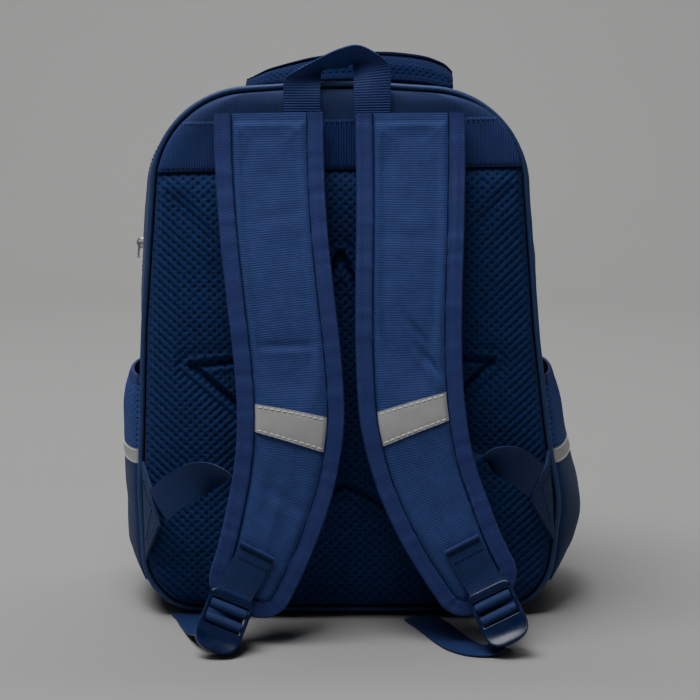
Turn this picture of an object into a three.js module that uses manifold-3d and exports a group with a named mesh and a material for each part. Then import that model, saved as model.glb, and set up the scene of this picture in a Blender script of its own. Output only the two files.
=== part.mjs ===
// A child's school backpack that stands on its base, its padded straps hanging in front of the back panel.
// Millimetres, +Z up. The straps face -Y, the plain front faces +Y, the origin is the middle of the flat base.
// Inside this file y = 0 is the plane of the back seam, and "out" is how far a point stands in front of it.
import * as THREE from "three";
import { mergeVertices } from "three/addons/utils/BufferGeometryUtils.js";
import Module from "manifold-3d";

const wasm = await Module();
wasm.setup();

// Driving dimensions of the bag
const DEPTH = 150; // back seam to front seam
const WALL = 2; // cloth and lining of the gusset
const GAP = 0.4; // kept between neighbouring pieces
const PIPING_R = 1.95;
const SIDE_BULGE = { left: [5, 10.5], right: [6, 8] }; // between the seams, at the pockets and at the zip
const BULGE_Z = [178, 245]; // heights between which the one passes into the other
const BASE_BULGE = 11;
const TOP_BULGE = -1.5; // the top sags a little
const FRONT_SCALE = 0.97; // the front panel is a little smaller than the back
const FRONT_DROP = 7;
const FRONT_CROWN = 15;
const ZIP_END_Z = 238; // height at which the zip ends on each side
const WALL_T = [0.0165, 0.978]; // share of the depth between the gusset's sewn edges

// Corners of the back seam, from the lower left up and over to the lower right, with the radius of each
const BACK_CORNERS = [
  { x: -136.5, z: 5.2, r: 39 },
  { x: -140.2, z: 92, r: 160 },
  { x: -136.3, z: 205, r: 500 },
  { x: -124, z: 365.5, r: 68 },
  { x: -1, z: 373.4, r: 420 },
  { x: 122, z: 365.5, r: 68 },
  { x: 135.9, z: 200, r: 500 },
  { x: 145.3, z: 125, r: 300 },
  { x: 153, z: 82, r: 80 },
  { x: 145, z: 5.2, r: 40 },
];
const TOP_CORNER = 4; // row of the middle of the top
const FRONT_CORNERS = BACK_CORNERS.map(({ x, z, r }) => ({
  x: x * FRONT_SCALE,
  z: z > DEPTH ? z - FRONT_DROP : z,
  r,
}));

// Back panel: mesh pad, ribbed band and cloth yoke
const PANEL_INSET = PIPING_R + 1.75;
const PANEL_BACK = -3; // the panel's inner face lies this far behind the seam plane
const PAD_TOP_Z = 313;
const PAD_EDGE = 2.2;
const PAD_CROWN = 9;
const PAD_ROUND = 24; // width of the pad's rounded border
const BAND_Z = [313.8, 347.2];
const BAND_THICK = 1.4;
const YOKE_EDGE = 1.2;
const YOKE_CROWN = 5.6;
const YOKE_ROUND = 16;
const STAR = { x: 1.5, z: 148.7, tip: 112.5, notch: 53, groove: 0.055, depth: 3.4 };

// Side pockets: how far the pouch stands off the wall at each height
const POCKET_T = [0.06, 0.94]; // share of the bag's depth that a pocket covers
const POCKET_WALL = 1.5;
const POCKET_ROWS = [
  { z: 26, left: 0.6, right: 0.6 },
  { z: 36, left: 5.2, right: 6 },
  { z: 45, left: 11.1, right: 13.5 },
  { z: 64, left: 10.6, right: 17.2 },
  { z: 80, left: 9.8, right: 15.2 },
  { z: 98, left: 11.8, right: 12.8 },
  { z: 122, left: 13.1, right: 11.4 },
  { z: 145, left: 13.8, right: 10.4 },
  { z: 160, left: 11.6, right: 9.6 },
  { z: 171, left: 8.8, right: 8.8 },
];
const POCKET_ZONES = [
  { name: "pocket", from: 26, to: 107.8, rows: 6, finish: "cloth" },
  { name: "pocket_trim", from: 108.2, to: 118.2, rows: 1, finish: "reflective" },
  { name: "pocket_mesh", from: 118.6, to: 171, rows: 5, finish: "mesh" },
];

// Shoulder straps: height, sideways place, distance in front of the back seam, and width
const STRAP_ROWS = {
  left: [
    { z: 354, x: -48, out: 16.5, width: 71 },
    { z: 318, x: -47.3, out: 23.5, width: 70.5 },
    { z: 275, x: -44.5, out: 34, width: 69.5 },
    { z: 231, x: -39.7, out: 44, width: 69 },
    { z: 190, x: -35, out: 51, width: 69 },
    { z: 150, x: -33, out: 57, width: 69 },
    { z: 115, x: -37, out: 61, width: 66 },
    { z: 85, x: -44.5, out: 65, width: 62 },
    { z: 58, x: -53.5, out: 68, width: 57 },
    { z: 25, x: -67, out: 70.5, width: 51 },
  ],
  right: [
    { z: 354, x: 47, out: 16.5, width: 71 },
    { z: 318, x: 47.3, out: 23.5, width: 70.5 },
    { z: 275, x: 46.8, out: 34, width: 69.5 },
    { z: 231, x: 45.8, out: 44, width: 68.5 },
    { z: 190, x: 46, out: 51, width: 68 },
    { z: 150, x: 49, out: 57, width: 68 },
    { z: 115, x: 57, out: 61, width: 65 },
    { z: 85, x: 69, out: 65, width: 62 },
    { z: 60, x: 81.5, out: 68, width: 57 },
    { z: 29, x: 100, out: 70.5, width: 52 },
  ],
};
const STRAP_EDGE_HALF = 3; // half thickness under the binding
const STRAP_MIDDLE_HALF = 5.6;
const STRAP_END_R = 17; // corners of the lower end, stepped at the angles below
const END_ANGLES = [0.274, 0.7, 1.13, Math.PI / 2];
const BINDING_REACH = 10.5; // how far the tape laps over each face
const BINDING_THICK = 1;
const REFLECTOR = { height: { left: 147.5, right: 153 }, slope: 0.2, width: 21, thick: 0.6 };

// Webbing, ladder buckles and the sewn anchors
const WEBBING = { width: 25, thick: 1.5 };
const TAB = { length: { left: 42, right: 45 }, turn: { left: 0.12, right: 0 }, rows: [34, 27, 21] };
const BUCKLE = {
  width: 31,
  length: 41,
  topBar: 5.8,
  windowEnd: 24,
  window: 25.8,
  thick: 4.2,
  barR: 1.8,
  firstBar: 10,
  secondBar: 19.5,
  corner: 5,
  tongueCorner: 13.5,
  lift: 13.5,
  tilt: 0.45,
  overlap: { left: 9.5, right: 12 }, // above the strap's lower end
  shift: { left: -7.8, right: 4 }, // sideways from the strap's middle
  turn: { left: 0, right: 0.08 }, // about the strap's face
};

// Each webbing leaves its anchor, arches up behind the strap and comes down to the buckle.
// The last columns are the direction of its width.
const WEBBING_ROWS = {
  left: [
    { x: -125, out: 24.6, z: 84.5, wx: -0.23, wo: -0.2, wz: 0.95 },
    { x: -116, out: 31.6, z: 94.7, wx: -0.25, wo: -0.1, wz: 0.96 },
    { x: -103.9, out: 38, z: 103.7, wx: -0.26, wo: 0.05, wz: 0.96 },
    { x: -93.8, out: 41, z: 108.4, wx: -0.3, wo: 0.28, wz: 0.91 },
    { x: -83.9, out: 41.4, z: 109.2, wx: -0.34, wo: 0.62, wz: 0.7 },
    { x: -73.5, out: 40.8, z: 107.6, wx: -0.2, wo: 0.92, wz: 0.34 },
    { x: -62, out: 40, z: 98, wx: 0.2, wo: 0.97, wz: -0.1 },
    { x: -56, out: 41, z: 79, wx: 0.7, wo: 0.65, wz: -0.25 },
    { x: -59, out: 47, z: 58, wx: 0.9, wo: 0.2, wz: -0.36 },
  ],
  right: [
    { x: 134.3, out: 23.4, z: 102, wx: 0.36, wo: -0.3, wz: 0.88 },
    { x: 126.4, out: 31, z: 110, wx: 0.35, wo: -0.15, wz: 0.92 },
    { x: 116.6, out: 37, z: 117, wx: 0.32, wo: 0.1, wz: 0.94 },
    { x: 107, out: 40, z: 121.5, wx: 0.3, wo: 0.55, wz: 0.78 },
    { x: 98, out: 40, z: 123, wx: 0.2, wo: 0.92, wz: 0.33 },
    { x: 87.5, out: 39.5, z: 120.5, wx: 0, wo: 0.95, wz: -0.3 },
    { x: 78, out: 39.5, z: 111, wx: -0.3, wo: 0.85, wz: -0.42 },
    { x: 75.5, out: 41.5, z: 94, wx: -0.65, wo: 0.65, wz: -0.4 },
    { x: 83, out: 47, z: 68, wx: -0.84, wo: 0.25, wz: -0.48 },
  ],
};
// Route past the buckle's second bar, along and out of the buckle's face
const WEBBING_IN_BUCKLE = [
  { along: -13, out: -19.8 },
  { along: 2.5, out: -26.2 },
  { along: 11.2, out: -18.4 },
  { along: 14.2, out: -9.5 },
  { along: 16.1, out: -3 },
  { along: 16.5, out: 0 },
  { along: 17.6, out: 2.3 },
  { along: 19.5, out: 3 },
  { along: 21.4, out: 2.3 },
  { along: 22.4, out: 0 },
  { along: 23.2, out: -2.8 },
  { along: 25.2, out: -5.6 },
  { along: 28, out: -8.8 },
];
// The loose tails lie on the floor
const TAIL_ROWS = {
  left: [
    { x: -84.4, out: 79, z: 6.6, wx: 0.92, wo: -0.06, wz: -0.28 },
    { x: -88, out: 66, z: 4.2, wx: 0.95, wo: -0.16, wz: -0.14 },
    { x: -92, out: 52, z: 2.6, wx: 0.97, wo: -0.22, wz: -0.05 },
    { x: -95.6, out: 38, z: 1.6, wx: 0.97, wo: -0.26, wz: 0 },
    { x: -100, out: 22, z: 1.3, wx: 0.94, wo: -0.34, wz: 0 },
    { x: -107.5, out: 6, z: 1.3, wx: 0.88, wo: -0.46, wz: 0 },
    { x: -116, out: -8, z: 1.3, wx: 0.85, wo: -0.52, wz: 0 },
  ],
  right: [
    { x: 109.4, out: 86.6, z: 10, wx: -0.68, wo: 0.7, wz: -0.1 },
    { x: 106.3, out: 87.4, z: 5, wx: 0.1, wo: 0.99, wz: 0 },
    { x: 99.5, out: 89, z: 2, wx: -0.05, wo: 1, wz: 0 },
    { x: 91, out: 87.5, z: 1.3, wx: -0.43, wo: 0.9, wz: 0 },
    { x: 83, out: 80, z: 1.3, wx: -0.73, wo: 0.68, wz: 0 },
    { x: 77, out: 68, z: 1.3, wx: -0.89, wo: 0.45, wz: 0 },
    { x: 72, out: 54, z: 1.3, wx: -0.94, wo: 0.34, wz: 0 },
    { x: 64, out: 30, z: 1.3, wx: -0.94, wo: 0.35, wz: 0 },
    { x: 56, out: 9, z: 1.3, wx: -0.93, wo: 0.36, wz: 0 },
  ],
};
// Anchor corners: two on the side seam, two where the webbing is sewn in
const ANCHOR_CORNERS = {
  left: [
    { x: -138, out: 3.8, z: 112 },
    { x: -131, out: 17, z: 96 },
    { x: -125, out: 25, z: 70.7 },
    { x: -136.4, out: 3.8, z: 42 },
  ],
  right: [
    { x: 144.8, out: 3.8, z: 120 },
    { x: 142.4, out: 15, z: 113 },
    { x: 131, out: 24.5, z: 88 },
    { x: 149.4, out: 4.4, z: 55 },
  ],
};
const ANCHOR_THICK = 2.2;

// Hang loop of webbing, by its outer and inner edges, and the padded handle behind it
const LOOP_EDGES = [
  { x: -38.5, out: 8.6, z: 356.5, innerX: -13.5, innerOut: 8.6, innerZ: 356.5 },
  { x: -38.5, out: 8.9, z: 367, innerX: -13.5, innerOut: 8.4, innerZ: 367 },
  { x: -37.6, out: 10.6, z: 376, innerX: -13.4, innerOut: 3.8, innerZ: 375.8 },
  { x: -29.4, out: 12.8, z: 382, innerX: -12.8, innerOut: -2, innerZ: 381 },
  { x: -14, out: 13.4, z: 390, innerX: -9, innerOut: -6.4, innerZ: 382.8 },
  { x: 0, out: 12.4, z: 396.4, innerX: -2, innerOut: -7.6, innerZ: 383 },
  { x: 12, out: 12, z: 398.6, innerX: 5, innerOut: -6.6, innerZ: 384.4 },
  { x: 24, out: 12.6, z: 393.2, innerX: 8.2, innerOut: -4, innerZ: 385.8 },
  { x: 32.6, out: 11.4, z: 386, innerX: 8.9, innerOut: 0.5, innerZ: 382 },
  { x: 34, out: 9.8, z: 376.4, innerX: 9, innerOut: 6, innerZ: 374.5 },
  { x: 34, out: 8.8, z: 367, innerX: 9, innerOut: 8.5, innerZ: 366 },
  { x: 34, out: 8.6, z: 356.5, innerX: 9, innerOut: 8.6, innerZ: 356.5 },
];
const HANDLE_ROWS = [
  { x: -66, z: 372.6, tilt: 0.1, half: 2.6 },
  { x: -48, z: 376, tilt: 0.26, half: 4.2 },
  { x: -20, z: 380.8, tilt: 0.48, half: 5.2 },
  { x: 8, z: 383.2, tilt: 0.58, half: 5.4 },
  { x: 36, z: 383, tilt: 0.62, half: 5.4 },
  { x: 60, z: 380.2, tilt: 0.58, half: 5 },
  { x: 78, z: 374.6, tilt: 0.46, half: 3.4 },
];
const HANDLE = { behind: 44, width: 27, edgeHalf: 2.2, reach: 4.5 };

// Zip slider and its pull, on the left side wall
const SLIDER = {
  z: 259,
  width: 8,
  length: 9,
  thick: 2.6,
  lift: 2,
  bailOuter: 3.3,
  bailInner: 2.2,
  bailWidth: 1.8,
  sunk: 0.3,
};
const PULL = { width: 7, length: 11.5, thick: 1.1, bar: 1.1, eye: 4.2, eyeWidth: 3.2, corner: 2, rise: 0.95 };

const FINISHES = {
  cloth: { color: 0x1f2f57, roughness: 0.85, metalness: 0 },
  mesh: { color: 0x14244a, roughness: 0.9, metalness: 0 },
  binding: { color: 0x222f5c, roughness: 0.8, metalness: 0 },
  webbing: { color: 0x1b2a58, roughness: 0.7, metalness: 0 },
  piping: { color: 0x1a2745, roughness: 0.5, metalness: 0 },
  reflective: { color: 0x9a9a9a, roughness: 0.45, metalness: 0 },
  plastic: { color: 0x0c1f52, roughness: 0.35, metalness: 0 },
  metal: { color: 0xb8b8b4, roughness: 0.25, metalness: 1 },
};

const { lerp, clamp, smoothstep } = THREE.MathUtils;
const place = (x, out, z) => new THREE.Vector3(x, -out, z);
const steps = (n) => Array.from({ length: n + 1 }, (_, i) => i / n);

// Geometry helpers

// An indexed geometry whose faces point out, whichever way the points ran.
function solid(points, faces) {
  let volume = 0;
  for (let i = 0; i < faces.length; i += 3) {
    const [a, b, c] = [points[faces[i]], points[faces[i + 1]], points[faces[i + 2]]];
    volume += a.dot(b.clone().cross(c));
  }
  const index = volume < 0 ? faces.toReversed() : faces;
  const geometry = new THREE.BufferGeometry().setFromPoints(points).setIndex(index);
  geometry.computeVertexNormals();
  return geometry;
}

// A closed wall between two matching grids of points.
function wall(outer, inner) {
  const [rows, cols] = [outer.length, outer[0].length];
  const half = rows * cols;
  const at = (r, c) => r * cols + c;
  const faces = [];
  const quad = (a, b, c, d) => faces.push(a, b, c, a, c, d);
  for (let r = 0; r < rows - 1; r++) {
    for (let c = 0; c < cols - 1; c++) {
      const [i, j, k, l] = [at(r, c), at(r, c + 1), at(r + 1, c + 1), at(r + 1, c)];
      quad(i, j, k, l);
      quad(half + i, half + l, half + k, half + j);
    }
  }
  const rim = [];
  for (let c = 0; c < cols - 1; c++) rim.push(at(0, c));
  for (let r = 0; r < rows - 1; r++) rim.push(at(r, cols - 1));
  for (let c = cols - 1; c > 0; c--) rim.push(at(rows - 1, c));
  for (let r = rows - 1; r > 0; r--) rim.push(at(r, 0));
  rim.forEach((i, k) => {
    const j = rim[(k + 1) % rim.length];
    quad(j, i, half + i, half + j);
  });
  return solid([...outer.flat(), ...inner.flat()], faces);
}

// A grid of points from two lists of parameters.
const grid = (us, vs, point) => us.map((u) => vs.map((v) => point(u, v)));

function manifoldOf(geometry) {
  const bare = geometry.clone();
  bare.deleteAttribute("normal");
  bare.deleteAttribute("uv");
  const merged = mergeVertices(bare, 1e-4);
  return new wasm.Manifold(
    new wasm.Mesh({
      numProp: 3,
      vertProperties: new Float32Array(merged.attributes.position.array),
      triVerts: new Uint32Array(merged.index.array),
    }),
  );
}

function geometryOf(manifold) {
  const mesh = manifold.getMesh();
  const geometry = new THREE.BufferGeometry();
  geometry.setAttribute("position", new THREE.BufferAttribute(mesh.vertProperties, 3));
  geometry.setIndex(new THREE.BufferAttribute(mesh.triVerts, 1));
  geometry.computeVertexNormals();
  return geometry;
}

const joined = (...geometries) => geometryOf(geometries.map(manifoldOf).reduce((a, b) => a.add(b)));
const cut = (geometry, tool) => geometryOf(manifoldOf(geometry).subtract(manifoldOf(tool)));

// A value read from a table at a height, on straight lines between the rows.
function readTable(rows, z, column) {
  const next = rows.findIndex((row) => row.z >= z);
  if (next <= 0) return rows[next === 0 ? 0 : rows.length - 1][column];
  const [a, b] = [rows[next - 1], rows[next]];
  return lerp(a[column], b[column], (z - a.z) / (b.z - a.z));
}

// A tape through stations that have a middle, half a width and half a thickness.
function tape(stations) {
  const face = (sign) =>
    stations.map(({ p, side, normal }) =>
      [-1, 1].map((edge) => p.clone().addScaledVector(side, edge).addScaledVector(normal, sign)),
    );
  return wall(face(1), face(-1));
}

const curveOf = (points) => new THREE.CatmullRomCurve3(points, false, "centripetal");

// A flat ribbon along rows of places, each with the direction of its width.
function ribbon(rows, { width, thick }, perRow) {
  const centre = curveOf(rows.map((row) => place(row.x, row.out, row.z)));
  const across = rows.map((row) => place(row.wx, row.wo, row.wz).normalize());
  const stations = steps((rows.length - 1) * perRow).map((t) => {
    const k = Math.min(Math.floor(t * (rows.length - 1)), rows.length - 2);
    const tangent = centre.getTangent(t);
    const side = across[k].clone().lerp(across[k + 1], t * (rows.length - 1) - k);
    side.addScaledVector(tangent, -side.dot(tangent)).setLength(width / 2);
    return { p: centre.getPoint(t), side, normal: tangent.cross(side).setLength(thick / 2) };
  });
  return tape(stations);
}

// A tape between two edges, with the places of both in each row.
function edgedTape(rows, thick, perRow) {
  const outer = curveOf(rows.map((row) => place(row.x, row.out, row.z)));
  const inner = curveOf(rows.map((row) => place(row.innerX, row.innerOut, row.innerZ)));
  const stations = steps((rows.length - 1) * perRow).map((t) => {
    const p = outer.getPoint(t).lerp(inner.getPoint(t), 0.5);
    const side = inner.getPoint(t).sub(p);
    const along = outer.getTangent(t).add(inner.getTangent(t));
    return { p, side, normal: along.cross(side).setLength(thick / 2) };
  });
  return tape(stations);
}

// Seam lines and the walls between them

// A closed outline seen along Y that starts at the middle of its base and runs up the left side first.
function seamLine(corners) {
  const path = new THREE.Path();
  path.arcLengthDivisions = 1600;
  const n = corners.length;
  const middle = (corners[0].x + corners[n - 1].x) / 2;
  path.moveTo(middle, corners[0].z);
  corners.forEach((corner, i) => {
    const p = new THREE.Vector2(corner.x, corner.z);
    const before = corners[(i + n - 1) % n];
    const after = corners[(i + 1) % n];
    const back = new THREE.Vector2(before.x, before.z).sub(p).normalize();
    const ahead = new THREE.Vector2(after.x, after.z).sub(p).normalize();
    const half = back.angleTo(ahead) / 2;
    const reach = corner.r / Math.tan(half);
    const bisector = back.clone().add(ahead).normalize();
    const centre = p.clone().addScaledVector(bisector, corner.r / Math.sin(half));
    const start = p.clone().addScaledVector(back, reach);
    const end = p.clone().addScaledVector(ahead, reach);
    const turn = back.cross(ahead) > 0;
    path.lineTo(start.x, start.y);
    path.absarc(centre.x, centre.y, corner.r, start.sub(centre).angle(), end.sub(centre).angle(), turn);
  });
  path.lineTo(middle, corners[0].z);
  const outward = (s) => {
    const t = path.getTangentAt(clamp(s, 0, 1));
    return new THREE.Vector2(-t.y, t.x);
  };
  const inset = (s, by) => path.getPointAt(clamp(s, 0, 1)).addScaledVector(outward(s), -by);
  // Where the line, set in by some millimetres, has a height on one side.
  const onSide = (z, side, by = 0) => {
    let [low, high] = side < 0 ? [0, 0.5] : [1, 0.5];
    for (let i = 0; i < 40; i++) {
      const middleS = (low + high) / 2;
      if (inset(middleS, by).y < z) low = middleS;
      else high = middleS;
    }
    return (low + high) / 2;
  };
  return { path, outward, inset, onSide };
}

const backSeam = seamLine(BACK_CORNERS);
const frontSeam = seamLine(FRONT_CORNERS);

// A point of the gusset at a share s along the seams and t from back to front, lifted off its outer face.
function gussetPoint(s, t, lift = 0) {
  const a = backSeam.inset(s, 0);
  const b = frontSeam.inset(s, 0);
  const n = backSeam.outward(s);
  const swell = Math.sin(Math.PI * clamp(t, 0, 1)) ** 0.7;
  const [atPocket, atZip] = n.x < 0 ? SIDE_BULGE.left : SIDE_BULGE.right;
  const side = lerp(atPocket, atZip, smoothstep(a.y, ...BULGE_Z));
  const bulge = side * Math.abs(n.x) ** 3 + BASE_BULGE * Math.max(0, -n.y) + TOP_BULGE * Math.max(0, n.y);
  const off = swell * bulge + lift;
  const z = lerp(a.y, b.y, t) + n.y * off;
  return new THREE.Vector3(lerp(a.x, b.x, t) + n.x * off, t * DEPTH, Math.max(z, -lift, 0));
}

// Part of the gusset between two places along the seams.
function gussetWall(ss, ts) {
  return wall(grid(ss, ts, (s, t) => gussetPoint(s, t)), grid(ss, ts, (s, t) => gussetPoint(s, t, -WALL)));
}

const between = (a, b, n) => steps(n).map((k) => lerp(a, b, k));

function gussetPieces() {
  const left = backSeam.onSide(ZIP_END_Z, -1);
  const right = backSeam.onSide(ZIP_END_Z, 1);
  const slack = GAP / 1200;
  const upper = between(left + slack, right - slack, 26);
  const lowerLeft = between(0, left - slack, 15);
  const lowerRight = between(right + slack, 1, 15);
  const lower = [...lowerRight.map((s) => s - 1), ...lowerLeft.slice(1)];
  const tapeT = [0.44, 0.492, 0.508, 0.56];
  const gapT = GAP / DEPTH;
  const wrap = (s) => (s < 0 ? s + 1 : s);
  const zipLift = [0.2, 1.5, 1.5, 0.2];
  const zip = wall(
    upper.map((s) => tapeT.map((t, i) => gussetPoint(s, t, zipLift[i]))),
    upper.map((s) => tapeT.map((t) => gussetPoint(s, t, -1))),
  );
  return {
    gusset_lower: gussetWall(lower.map(wrap), [WALL_T[0], 0.09, 0.22, 0.5, 0.78, 0.91, WALL_T[1]]),
    gusset_rear: gussetWall(upper, [WALL_T[0], 0.12, 0.27, tapeT[0] - gapT]),
    gusset_front: gussetWall(upper, [tapeT[3] + gapT, 0.73, 0.88, WALL_T[1]]),
    main_zip: zip,
  };
}

// Back panel

class SeamCurve extends THREE.Curve {
  getPoint(s, target = new THREE.Vector3()) {
    const p = backSeam.inset(s, 0);
    return target.set(p.x, 0, p.y);
  }
}

const backPiping = () => new THREE.TubeGeometry(new SeamCurve(), 66, PIPING_R, 6, true);

// How far a quarter-round border has risen at a distance from its edge.
const rounded = (distance, radius) => Math.sqrt(1 - (1 - clamp(distance / radius, 0, 1)) ** 2);

// Limits of the back panel at a height.
function panelLimits(z, seam = backSeam, by = PANEL_INSET) {
  return [-1, 1].map((side) => seam.inset(seam.onSide(z, side, by), by).x);
}

const SHARES = [0, 0.025, 0.07, 0.15, 0.28, 0.5, 0.72, 0.85, 0.93, 0.975, 1];

function padOut(x, z, [low, high], baseZ) {
  const sides = rounded(Math.min(x - low, high - x), PAD_ROUND);
  const ends = rounded(z - baseZ, PAD_ROUND) * rounded(PAD_TOP_Z - z, PAD_ROUND * 0.6);
  return PAD_EDGE + (PAD_CROWN - PAD_EDGE) * sides * ends;
}

function starShape(scale) {
  const points = [];
  for (let k = 0; k < 10; k++) {
    const angle = Math.PI / 2 + (k * Math.PI) / 5;
    const reach = scale * (k % 2 ? STAR.notch : STAR.tip);
    points.push(new THREE.Vector2(reach * Math.cos(angle), reach * Math.sin(angle)));
  }
  return points;
}

function backPad() {
  const baseZ = BACK_CORNERS[0].z + PANEL_INSET + 0.2;
  const zs = [0, 0.012, 0.035, 0.07, 0.12, 0.22, 0.38, 0.55, 0.72, 0.88, 0.95, 0.985, 1].map((k) =>
    lerp(baseZ, PAD_TOP_Z, k),
  );
  const rows = (out) =>
    zs.map((z) => {
      const limits = panelLimits(z);
      return SHARES.map((k) => {
        const x = lerp(...limits, k);
        return place(x, out(x, z, limits), z);
      });
    });
  const pad = wall(rows((x, z, limits) => padOut(x, z, limits, baseZ)), rows(() => PANEL_BACK));
  const ring = new THREE.Shape(starShape(1 + STAR.groove));
  ring.holes.push(new THREE.Path(starShape(1 - STAR.groove)));
  const groove = new THREE.ExtrudeGeometry(ring, { depth: 2 * PAD_CROWN, bevelEnabled: false });
  groove.rotateX(Math.PI / 2).translate(STAR.x, STAR.depth - PAD_CROWN, STAR.z);
  return cut(pad, groove);
}

function yokeOut(x, z, [low, high], topZ) {
  const edge = Math.min(x - low, high - x, (topZ - z) * 1.4);
  return YOKE_EDGE + (YOKE_CROWN - YOKE_EDGE) * rounded(edge, YOKE_ROUND);
}

const YOKE_TOP_Z = BACK_CORNERS[TOP_CORNER].z - PANEL_INSET - 0.8;

function yokeRows(zs, out) {
  return zs.map((z) => {
    const limits = panelLimits(z);
    return SHARES.map((k) => {
      const x = lerp(...limits, k);
      return place(x, out(yokeOut(x, z, limits, YOKE_TOP_Z)), z);
    });
  });
}

function backYoke() {
  const zs = [PAD_TOP_Z + GAP, 330, BAND_Z[1], 353, 358, 362, 365.5, 368, YOKE_TOP_Z];
  return wall(yokeRows(zs, (out) => out), yokeRows(zs, () => PANEL_BACK));
}

function backBand() {
  const zs = [BAND_Z[0], 330, BAND_Z[1]];
  return wall(
    yokeRows(zs, (out) => out + GAP + BAND_THICK),
    yokeRows(zs, (out) => out + GAP),
  );
}

function frontPanel() {
  const inset = 0.5;
  const baseZ = FRONT_CORNERS[0].z + inset;
  const topZ = FRONT_CORNERS[TOP_CORNER].z - 2;
  const zs = [0, 0.015, 0.05, 0.11, 0.22, 0.45, 0.7, 0.86, 0.95, 0.985, 1].map((k) => lerp(baseZ, topZ, k));
  const rim = DEPTH * WALL_T[1] + GAP;
  const rows = (back) =>
    zs.map((z) => {
      const limits = panelLimits(z, frontSeam, inset);
      return SHARES.map((k) => {
        const x = lerp(...limits, k);
        const edge = Math.min(x - limits[0], limits[1] - x, z - baseZ, topZ - z);
        const crown = FRONT_CROWN * rounded(edge, 70) ** 1.2;
        return new THREE.Vector3(x, rim + crown + (back ? 0 : WALL), z);
      });
    });
  return wall(rows(false), rows(true));
}

// Side pockets

function pocketWall(side, { from, to, rows }) {
  const column = side < 0 ? "left" : "right";
  const ts = [0, 0.05, 0.15, 0.32, 0.5, 0.68, 0.85, 0.95, 1];
  const face = (thick) =>
    grid(between(from, to, rows), ts, (z, k) => {
      const pouch = readTable(POCKET_ROWS, z, column) * Math.sin(Math.PI * k) ** 0.55;
      const s = backSeam.onSide(z, side);
      return gussetPoint(s, lerp(...POCKET_T, k), 2.5 * GAP + thick + pouch);
    });
  return wall(face(POCKET_WALL), face(0));
}

// Shoulder straps

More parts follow.
